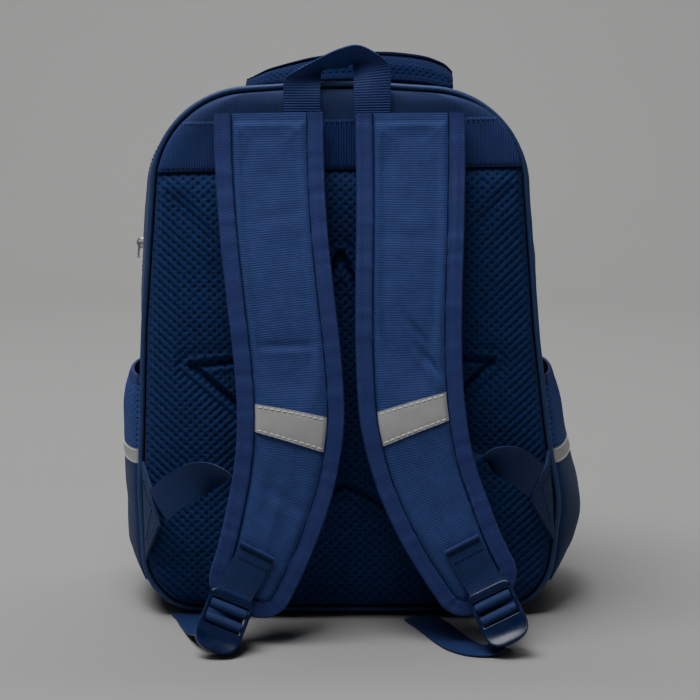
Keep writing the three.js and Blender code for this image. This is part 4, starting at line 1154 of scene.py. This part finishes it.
def front_cloth():
    base_z, top_z = FRONT_CORNERS[0][1] + FRONT_INSET, FRONT_CORNERS[TOP_CORNER][1] - 2
    x, z, edge = panel_grid(base_z, top_z, *GRIDS["front"], FRONT, FRONT_INSET)
    near = np.minimum(edge, np.minimum(z - base_z, top_z - z))
    back = DEPTH * FRONT_RIM_T + GAP + FRONT_CROWN * rounded(near, FRONT_ROUND) ** 1.2
    sag = lumps("front", x, z) + lumps("front_fine", x, z)
    face = back + sag * smoothstep(near, 4, 40) + WALL
    cloth = shell(joined(x, face, z), joined(x, back, z), joined(x, z))
    build("front_cloth", [(cloth, OXFORD)], "front_panel")


# Side pockets


def pocket_stand(z, column):
    """How far the pouch stands off at a height, with the table's corners rounded off."""
    rows = np.array(POCKET_ROWS, float)
    heights = np.arange(rows[0, 0] - 12, rows[-1, 0] + 13)
    values = np.interp(heights, rows[:, 0], rows[:, column])
    window = np.hanning(2 * POCKET_SOFTENING + 1)
    padded = np.pad(values, POCKET_SOFTENING, mode="edge")
    return np.interp(z, heights, np.convolve(padded, window / window.sum(), mode="valid"))


def side_pocket(name):
    """A cloth pouch, its silver trim, and a gathered net with a hem."""
    k = np.linspace(0, 1, 150)[None]
    girth = k * POCKET_GIRTH
    low, high = POCKET_TRIM_Z
    hem, mouth = POCKET_HEM_Z

    def wall(base, top, count, fold):
        """A band of the pocket that stands off the gusset, and the points of its face."""
        z = np.linspace(base, top, count)
        s = BACK.on_side(z, SIDES[name])[:, None]
        stand = pocket_stand(z, POCKET_COLUMN[name])[:, None] * np.sin(np.pi * k) ** 0.55
        off = 2.5 * GAP + stand + fold(z[:, None]) * np.sin(np.pi * k) ** 0.5
        inner, outer = (gusset_point(s, lerp(*POCKET_T, k), off + thick) for thick in (0, POCKET_WALL))
        return shell(outer, inner, joined(girth, z[:, None])), outer

    def slack(z):
        return lumps(f"pouch_{name}", girth, z) * smoothstep(low - z, -2, 20)

    def welt(z):
        return 0.5 * rounded(np.minimum(z - low, high - z) + 0.2, 2.0)

    def gathers(z):
        wander = lumps(f"gathers_{name}", girth, z)
        ripple = np.cos(2 * np.pi * (k * POCKET_GATHERS + wander))
        return 0.9 * ripple * smoothstep(z, high + 8, mouth - 8)

    def roll(z):
        return gathers(z) * 0.6 + 0.9 * rounded(np.minimum(z - hem, mouth - z) + 0.3, 2.5)

    pouch, _ = wall(POCKET_ROWS[0][0], low + 0.2, 60, slack)
    build(f"pocket_pouch_{name}", [(pouch, OXFORD)], f"pocket_{name}")

    trim, face = wall(low, high, 10, welt)
    rows = [(stitches(face[row], (SIDES[name], 0, 0), "band"), WHITE_THREAD) for row in (1, -2)]
    build(f"pocket_silver_{name}", [(trim, SILVER)] + rows, f"pocket_trim_{name}")

    knit, _ = wall(high - 0.2, hem + 1, 40, gathers)
    rim, _ = wall(hem, mouth, 12, roll)
    build(f"pocket_net_{name}", [(knit, POCKET_NET), (rim, TWILL)], f"pocket_mesh_{name}")


# Shoulder straps


class Strap:
    """A strap's middle surface: a place along it, a sideways offset and a lift off its face."""

    def __init__(self, name):
        rows = np.array(STRAP_ROWS[name], float)
        self.name = name
        self.side = SIDES[name]
        self.widths = rows[:, 3]
        self.curve = Spline(place(rows[:, 1], rows[:, 2], rows[:, 0]))
        self.length = self.curve.length

    def frame(self, s):
        s = np.asarray(s, float)
        t = self.curve.share(np.clip(s, 0, self.length))
        along = self.curve.tangent(t)
        across = unit(np.array([1.0, 0, 0]) - along * along[..., :1])
        past = (s - np.clip(s, 0, self.length))[..., None]
        return self.curve.at(t) + along * past, along, across, np.cross(along, across)

    def point(self, s, x, lift):
        s, x, lift = np.broadcast_arrays(s, x, lift)
        origin, _, across, out = self.frame(s)
        return origin + across * x[..., None] + out * lift[..., None]

    def half(self, s):
        """Half the width, drawn in round the lower end's corners."""
        full = self.curve.between(self.widths, self.curve.share(np.clip(s, 0, self.length))) / 2
        past = np.clip(s - (self.length - STRAP_END_R), 0, STRAP_END_R)
        return full - STRAP_END_R + np.sqrt(STRAP_END_R**2 - past**2)

    def thickness(self, s, x):
        """Half the thickness, thin under the binding and at the sewn top."""
        edge = np.minimum(np.minimum(self.half(s) - np.abs(x), self.length - s), s + 4)
        return lerp(STRAP_EDGE_HALF, STRAP_MIDDLE_HALF, rounded(edge - BINDING_REACH - 0.7, 20))

    def stations(self, count):
        """Places along the strap, with more of them round the lower corners."""
        straight = np.linspace(1, self.length - STRAP_END_R, count)
        return np.concatenate([straight, self.length - STRAP_END_R * (1 - np.sin(CORNER_TURN))])

    def reflector_s(self, x):
        """The middle of the slanted reflective strip."""
        heights = self.curve.at(self.curve.t)[:, 2]
        middle = np.interp(-REFLECTOR[self.name], -heights, self.curve.s)
        return middle - self.side * REFLECTOR["slope"] * x


def strap_swell(strap):
    """How far the padding swells between its binding, the reflective strip and the sewn tab."""
    rows, cols = GRIDS["strap_swelling"]
    s = np.linspace(1, strap.length, rows)[:, None]
    x = np.linspace(-1, 1, cols)[None] * strap.half(s)
    edge = np.minimum(strap.half(s) - np.abs(x), strap.length - s)
    strip = np.abs(np.abs(s - strap.reflector_s(x)) - REFLECTOR["width"] / 2) < 2
    tab = np.abs(x - BUCKLE_SHIFT[strap.name]) < 15
    tab = tab & (s > strap.length - TAB_LENGTH[strap.name] - 2)
    held = (edge < BINDING_REACH - 1) | strip | tab | (s < 6)
    swell = puffed(strap.point(s, x, strap.thickness(s, x) - 0.8), held, STRAP_SWELL)
    return np.sum(swell * strap.frame(s)[3], -1)


def strap_core(strap):
    """Padded cloth with creases, backed with mesh."""
    rows, cols = GRIDS["strap"]
    fine_s = np.linspace(1, strap.length, 300)
    fine = spread(strap_swell(strap), len(fine_s), cols)
    s = strap.stations(rows)[:, None]
    x = np.linspace(-1, 1, cols)[None] * strap.half(s)
    swell = np.stack([np.interp(s[:, 0], fine_s, column) for column in fine.T], -1)
    inside = smoothstep(strap.half(s) - np.abs(x), BINDING_REACH, BINDING_REACH + 8)
    inside = inside * smoothstep(strap.length - s, BINDING_REACH, BINDING_REACH + 8)
    folds = creased(x, s, STRAP_CREASES[strap.name]) + lumps(f"strap_{strap.name}", x, s)
    thick = strap.thickness(s, x)
    front = strap.point(s, x, thick + (swell + folds) * inside)
    pad = shell(front, strap.point(s, x, -thick), joined(x, s))
    behind = len(pad[0]) // 2
    finishes = [AIR_MESH if min(face) >= behind else RIBBED for face in pad[1]]
    name = f"shoulder_pad_{strap.name}"
    piece = build(name, [(pad, finishes)], f"strap_{strap.name}", crease=60)


def strap_edge(strap):
    """The edge from the top left, round the lower end, to the top right: s, x and the way out of it."""
    s = strap.stations(150)
    angle = np.concatenate([np.zeros(150), CORNER_TURN])
    right = np.stack([s, strap.half(s), np.sin(angle), np.cos(angle)], -1)
    end = [(strap.length, x, 1, 0) for x in np.linspace(-0.8, 0.8, 7) * strap.half(strap.length)]
    return np.vstack([right * [1, -1, 1, -1], end, right[::-1]])


def strap_binding(strap):
    """Twill tape folded over the strap's edge, with a dark navy cord along its inner border: partly the sewn
    line, partly painted shade in the gap where the binding meets the strap's face.
    """
    edge = strap_edge(strap)
    lift = STRAP_EDGE_HALF + GAP
    flat = np.linspace(BINDING_REACH, 0, 10)
    hem = 0.5 * (1 - rounded(BINDING_REACH - flat + 0.1, 1.2))
    run = run_along(edge[:, :2])[:, None]
    ripple = lumps(f"binding_{strap.name}", run, 0)

    def laid(section, swell):
        reach, up = section[None, :, 0], section[None, :, 1]
        s, x = (edge[:, None, k] - edge[:, None, k + 2] * reach for k in (0, 1))
        return strap.point(s, x, up * (1 + swell))

    outer = folded(flat, lift + BINDING_THICK, hem, -GAP, -0.28, 11)
    inner = folded(flat, lift, 0 * hem, -GAP, -0.28, 11)
    cloth = shell(laid(outer, ripple), laid(inner, 0), joined(run, run_along(outer)[None]))
    # A continuous dark cord just inside the binding's inner border: partly the sewn line, partly painted
    # shade in the gap at the binding's edge.
    s, x = (edge[:, :2] - edge[:, 2:] * (BINDING_REACH - 0.5)).T
    row = tube(strap.point(s, x, lift + BINDING_THICK - 0.25), 0.5, 6)
    parts = [(cloth, TWILL), (row, NAVY_THREAD)]
    build(f"edge_binding_{strap.name}", parts, f"strap_binding_{strap.name}")


def strap_reflector(strap):
    """The slanted silver strip with a row of white stitches along each edge."""
    half, sewn = REFLECTOR["width"] / 2, REFLECTOR["width"] / 2 - REFLECTOR["stitch"]
    rows, cols = GRIDS["reflector"]
    x = np.linspace(-1, 1, cols)[None] * (strap.half(strap.reflector_s(0.0)) - BINDING_REACH + 1)
    v = np.linspace(-1, 1, rows)[:, None] * half
    s = strap.reflector_s(x) + v
    tuck = smoothstep(strap.half(s) - BINDING_REACH - np.abs(x), -1, 2)
    crown = 0.9 + 0.3 * (1 - (v / half) ** 2) + lumps(f"strip_{strap.name}", x, s)
    groove = 0.25 * bell(np.abs(v) - sewn, 0.8)
    thick = strap.thickness(s, x)
    face = strap.point(s, x, thick + 0.3 + (crown - groove) * tuck)
    strip = shell(face, strap.point(s, x, thick - 0.2), joined(x, v))
    parts = [(strip, SILVER)]
    for edge in (-sewn, sewn):
        line = strap.reflector_s(x[0]) + edge
        path = strap.point(line, x[0], strap.thickness(line, x[0]) + 1.2)
        row = stitches(path[3:-3], strap.frame(line)[3][3:-3], "silver")
        parts.append((row, WHITE_THREAD))
    build(f"silver_strip_{strap.name}", parts, f"reflector_{strap.name}")


# Buckles and webbing


def buckle_frame(strap):
    """The buckle's own frame: x across, y up along it, z out of its face."""
    _, along, across, out = strap.frame(strap.length)
    basis = Matrix(np.stack([across, -along, out], -1).tolist()).to_4x4()
    turn = Matrix.Rotation(-BUCKLE_TURN[strap.name], 4, "Z")
    basis = basis @ turn @ Matrix.Rotation(-BUCKLE["tilt"], 4, "X")
    s = strap.length - BUCKLE_OVERLAP[strap.name]
    basis.translation = Vector(strap.point(s, BUCKLE_SHIFT[strap.name], BUCKLE["lift"]))
    return np.array(basis)


def in_buckle(matrix, points):
    return np.asarray(points, float) @ matrix[:3, :3].T + matrix[:3, 3]


def route_rows(p, w):
    """Rows for a ribbon, as the tables of routes have them."""
    return np.column_stack([place(*p.T), place(*w.T)])


def buckle_rows(matrix, route, sign):
    """Ribbon rows for a route given along and out of the buckle's face."""
    along, out = np.asarray(route, float).T
    p = in_buckle(matrix, joined(0 * along, -along, out))
    return route_rows(p, np.broadcast_to(matrix[:3, 0] * sign, p.shape))


def arc_points(a, b, c, count):
    """A quadratic curve from a to c drawn towards b."""
    t = np.linspace(0, 1, count)[:, None]
    a, b, c = (np.array(p, float) for p in (a, b, c))
    return (1 - t) ** 2 * a + 2 * t * (1 - t) * b + t**2 * c


def buckle_outline():
    w, length = BUCKLE["half"], BUCKLE["length"]
    corner, turn = BUCKLE["corner"], BUCKLE["tongue_corner"]
    upper = arc_points((w - corner, 0), (w, 0), (w, corner), 8)
    lower = arc_points((w, length - turn), (w, length), (w - turn, length), 12)
    right = np.vstack([[[0, 0]], upper, lower, [[0, length]]])
    return np.vstack([right, (right * [-1, 1])[-2:0:-1]])


def buckle_plate():
    """Points and faces of the flat frame with its window."""
    window, top, end = BUCKLE["window_half"], BUCKLE["top_bar"], BUCKLE["window_end"]
    curve = bpy.data.curves.new("plate", "CURVE")
    curve.dimensions = "2D"
    curve.fill_mode = "BOTH"
    curve.extrude = BUCKLE["thick"] / 2 * MM
    for outline in (buckle_outline(), [(-window, top), (window, top), (window, end), (-window, end)]):
        spline = curve.splines.new("POLY")
        spline.points.add(len(outline) - 1)
        for point, (x, y) in zip(spline.points, outline):
            point.co = (x * MM, -y * MM, 0, 1)
        spline.use_cyclic_u = True
    return solved_mesh(shown("plate", curve))


def moulded_buckle(name, matrix):
    """A ladder buckle: rounded frame, two bars and a thumb tongue that curls out."""
    points, faces = buckle_plate()
    reach = BUCKLE["window_half"] + 1.5
    for y in (BUCKLE["first_bar"], BUCKLE["second_bar"]):
        bar, bar_faces, _ = tube(np.array([[x, -y, 0] for x in (-reach, 0, reach)]), BUCKLE["bar_r"], 14)
        faces += [[len(points) + k for k in face] for face in bar_faces]
        points = np.vstack([points, bar])
    solid = shown("rough", mesh_of("rough", points * MM, faces))
    remesh = solid.modifiers.new("voxels", "REMESH")
    remesh.mode = "VOXEL"
    remesh.voxel_size = BUCKLE_VOXEL * MM
    smooth = solid.modifiers.new("soften", "SMOOTH")
    smooth.factor = 0.5
    smooth.iterations = 6
    p, faces = solved_mesh(solid)
    along = -p[:, 1]
    curl = smoothstep(along, BUCKLE["window_end"], BUCKLE["length"])
    dish = 4 * curl * (1 - curl) * (1 - (p[:, 0] / BUCKLE["half"]) ** 2) * (p[:, 2] > 0)
    lip = smoothstep(BUCKLE["top_bar"] - along, 0, 3)
    p[:, 2] += BUCKLE["curl"] * curl**2 + BUCKLE["lip"] * lip - BUCKLE["dish"] * dish
    part = (in_buckle(matrix, p), faces, p[:, :2])
    build(f"ladder_buckle_{name}", [(part, PLASTIC)], f"buckle_{name}", crease=70)


def buckle_tab(strap, matrix):
    """Webbing sewn to the strap, round the buckle's first bar and back under itself, its folded top edge in
    a lighter tape colour as a painted highlight.
    """
    turn = TAB_TURN[strap.name]
    back = np.array([TAB_LENGTH[strap.name], *TAB_ROWS], float)
    s = strap.length - back
    x = BUCKLE_SHIFT[strap.name] + math.tan(turn) * (back - BUCKLE_OVERLAP[strap.name])
    p = strap.point(s, x, STRAP_MIDDLE_HALF + GAP + 0.3 + WEBBING_THICK / 2)
    _, along, across, out = strap.frame(s)
    w = across * math.cos(turn) + along * math.sin(turn)
    ring = BUCKLE["bar_r"] + GAP + WEBBING_THICK / 2
    angles = np.radians([-100, -60, -20, 20, 60, 100, 140, 175])
    route = [(-3, -4.2), (3.5, -4.2)]
    route += [(BUCKLE["first_bar"] + ring * math.cos(a), ring * math.sin(a)) for a in angles]
    rows = np.vstack([route_rows(p, w), buckle_rows(matrix, route, 1)])

    across_tab = np.linspace(-0.5, 0.5, 9)[:, None] * w[0] * WEBBING_WIDTH
    # The round fold along the tab's top wears the lighter twill tape finish: a painted highlight along the
    # folded edge.
    fold = tube(across_tab + p[0] + out[0], TAB_FOLD_R, 10)
    parts = [(ribbon(rows, 1.0), FLAT_WEB), (fold, TWILL)]
    for reach in TAB_SEWN:
        start = p[0] + along[0] * reach + out[0] * (WEBBING_THICK / 2 + 0.05)
        path = np.linspace(-0.44, 0.44, 20)[:, None] * w[0] * WEBBING_WIDTH + start
        parts.append((stitches(path, out[0], "tab"), NAVY_THREAD))
    build(f"strap_tab_{strap.name}", parts, f"buckle_tab_{strap.name}")


def adjusting_webbing(name, matrix):
    through = buckle_rows(matrix, WEBBING_IN_BUCKLE, -SIDES[name])
    webbing = ribbon(np.vstack([WEBBING_ROWS[name], through, TAIL_ROWS[name]]), 1.2)
    build(f"strap_webbing_{name}", [(webbing, FLAT_WEB)], f"webbing_{name}")


def cloth_anchor(name):
    """Folded cloth that ties the webbing into the side seam."""
    top, upper, lower, base = (place(*corner) for corner in np.array(ANCHOR_CORNERS[name], float))
    normal = unit(np.cross(upper - base, lower - top))
    normal = normal * -np.sign(normal[1])
    half = ANCHOR_THICK / 2

    def spot(u, v):
        return lerp(lerp(top, base, u), lerp(upper, lower, u), v)

    rows, cols = GRIDS["anchor"]
    u, v = np.linspace(0, 1, rows)[:, None], np.linspace(0, 1, cols)[None]
    flat = spot(u[..., None], v[..., None])
    rim = np.minimum(np.minimum(u, 1 - u) * 40, np.minimum(v, 1 - v) * 20)
    lift = half * (0.7 + 0.3 * rounded(rim, 2)) - 0.3 * bell(rim - 3, 0.8)
    a, b = u * ANCHOR_CLOTH[0], v * ANCHOR_CLOTH[1]
    lift = lift + lumps("anchor", a, b) * smoothstep(rim, 0, 4)
    cloth = shell(flat + normal * lift[..., None], flat - normal * half, joined(a, b))
    parts = [(cloth, OXFORD)]
    k = np.linspace(0.08, 0.92, 30)[:, None]
    for start in (0.12, 0.88):
        line = spot(lerp(start, 0.5, k), lerp(0.12, 0.9, k)) + normal * (half + 0.25)
        parts.append((stitches(line, normal, "edge"), NAVY_THREAD))
    build(f"seam_anchor_{name}", parts, f"webbing_anchor_{name}")


# Loop and handle at the top


def hang_loop():
    rows = np.array(LOOP_EDGES, float)
    outer, inner = (Spline(place(*edge.T)) for edge in (rows[:, :3], rows[:, 3:]))
    stations, cols = GRIDS["loop"]
    t = np.linspace(0, 1, stations)
    a, b = outer.at(t), inner.at(t)
    normal = unit(np.cross(outer.tangent(t) + inner.tangent(t), unit(b - a)))
    build("webbing_loop", [(tape(a, b, normal, cols), RIBBED_WEB)], "hang_loop")


class Handle:
    """The handle's middle surface: stations along it, an offset across it and a lift off its face."""

    def __init__(self, count):
        x, z, tilt, half = np.array(HANDLE_ROWS, float).T
        curve = Spline(place(x, -HANDLE["behind"], z))
        u = np.linspace(0, 1, count)
        t = curve.share(u * curve.length)
        tilt = curve.between(tilt, t)
        self.middle = curve.at(t)
        self.across = joined(0 * tilt, np.cos(tilt), np.sin(tilt))
        self.out = unit(np.cross(curve.tangent(t), self.across))
        self.width = 0.62 + 0.38 * np.sqrt(1 - (2 * u - 1) ** 12)[:, None]
        self.half = curve.between(half, t)[:, None]
        self.run = (u * curve.length)[:, None]
        self.thin = 1.0
        for from_end, (taper, left_over) in zip((self.run, self.run[-1] - self.run), HANDLE_ENDS):
            self.thin = self.thin * lerp(left_over, 1, smoothstep(from_end, 0, taper))

    def point(self, x, lift):
        droop = HANDLE["droop"] * smoothstep(-x / HANDLE["half"], 0.1, 1.0)
        sideways = self.across[:, None] * (x * self.width)[..., None]
        up = self.out[:, None] * (lift * self.thin)[..., None]
        return self.middle[:, None] + sideways + up - droop[..., None] * np.array([0, 0, 1.0])


def carry_handle():
    """Mesh padding that thins towards its edges and ends."""
    stations, cols = GRIDS["handle"]
    handle = Handle(stations)
    k = np.linspace(-1, 1, cols)[None]
    x = k * HANDLE["half"]
    from_edge = 1 - np.abs(k)
    lift = lerp(HANDLE["edge_half"], handle.half, smoothstep(from_edge, 0.2, 0.8))
    ends = smoothstep(np.minimum(handle.run, handle.run[-1] - handle.run), 4, 14)
    lift = lift + lumps("handle", handle.run, x) * ends * smoothstep(from_edge, 0.2, 0.6)
    pad = shell(handle.point(x, lift), handle.point(x, -lift), joined(handle.run, x))
    piece = build("padded_handle", [(pad, FINE_MESH)], "carry_handle")
    for name, way in (("upper", 1), ("lower", -1)):
        handle_tape(handle, name, way)


def handle_tape(handle, name, way):
    """A twill tape folded over one long edge of the handle, sewn through on both faces."""
    half, level = HANDLE["half"], HANDLE["edge_half"] + GAP
    flat = np.linspace(half - HANDLE["reach"], half, 6)
    sewn = half - HANDLE["reach"] + HANDLE["stitch"]
    groove = 0.3 * bell(flat - sewn, 0.5)
    outer, inner = (
        handle.point(way * section[None, :, 0], section[None, :, 1])
        for section in (
            folded(flat, level + BINDING_THICK, groove, half, 0.42, 9),
            folded(flat, level, 0 * groove, half, 0.42, 9),
        )
    )
    across = run_along(outer[len(outer) // 2])[None]
    parts = [(shell(outer, inner, joined(handle.run, across)), DARK_TWILL)]
    for face in (1, -1):
        lift = np.array([[face * (level + BINDING_THICK - 0.15)]])
        path = handle.point(np.array([[way * sewn]]), lift)[:, 0]
        parts.append((stitches(path, handle.out * face, "edge"), NAVY_THREAD))
    build(f"handle_tape_{name}", parts, f"handle_binding_{name}")


# Zip slider and pull


def metal_nodes():
    """The slider and its pull keep their CAD shapes, with softened edges."""
    for node in ("zip_slider", "zip_pull"):
        piece = bpy.data.objects[node]
        piece.data.materials.clear()
        piece.data.materials.append(METAL)
        soften = piece.modifiers.new("soften", "BEVEL")
        soften.width = 0.25 * MM
        soften.segments = 2
        soften.limit_method = "ANGLE"


# Stage, light and camera


def stage():
    """A pale floor that curves up into a backdrop."""
    far, bend = STUDIO["far"], STUDIO["bend"]
    angle = np.linspace(0, np.pi / 2, 24)
    curve = joined(far - bend + bend * np.sin(angle), bend - bend * np.cos(angle))
    profile = np.vstack([[[STUDIO["near"], 0]], curve, [[far, STUDIO["height"]]]])
    x = np.array([[-STUDIO["half"], STUDIO["half"]]])
    grid = joined(x, profile[:, None, 0], profile[:, None, 1])
    mesh = mesh_of("floor", grid.reshape(-1, 3), grid_faces(len(profile), 2).tolist())
    mesh.polygons.foreach_set("use_smooth", [True] * len(mesh.polygons))
    mesh.materials.append(PAPER)
    floor = shown("floor", mesh)


def lighting():
    for name, at, towards, size, power in LIGHTS:
        data = bpy.data.lights.new(name, "AREA")
        data.shape = "RECTANGLE"
        data.size, data.size_y = size
        data.energy = power
        light = shown(name, data)
        light.location = at
        light.rotation_euler = (Vector(towards) - Vector(at)).to_track_quat("-Z", "Y").to_euler()
    world = bpy.data.worlds.new("studio")
    world.use_nodes = True
    background = world.node_tree.nodes["Background"].inputs
    background["Color"].default_value = (1, 1, 1, 1)
    background["Strength"].default_value = WORLD_STRENGTH
    bpy.context.scene.world = world


def camera():
    data = bpy.data.cameras.new("camera")
    data.lens = CAMERA["lens"]
    data.sensor_width = CAMERA["sensor"]
    data.clip_end = CAMERA["clip_end"]
    view = shown("camera", data)
    view.location = [value * MM for value in CAMERA["at"]]
    view.rotation_euler = (math.radians(90 - CAMERA["pitch"]), 0, 0)
    bpy.context.scene.camera = view


stage()
lighting()
camera()
quilted_pad()
yoke_cloth()
ribbed_band()
seam_piping()
gusset()
front_cloth()
hang_loop()
carry_handle()
for side_name in SIDES:
    side_pocket(side_name)
    strap = Strap(side_name)
    strap_core(strap)
    strap_binding(strap)
    strap_reflector(strap)
    matrix = buckle_frame(strap)
    moulded_buckle(side_name, matrix)
    buckle_tab(strap, matrix)
    adjusting_webbing(side_name, matrix)
    cloth_anchor(side_name)
metal_nodes()
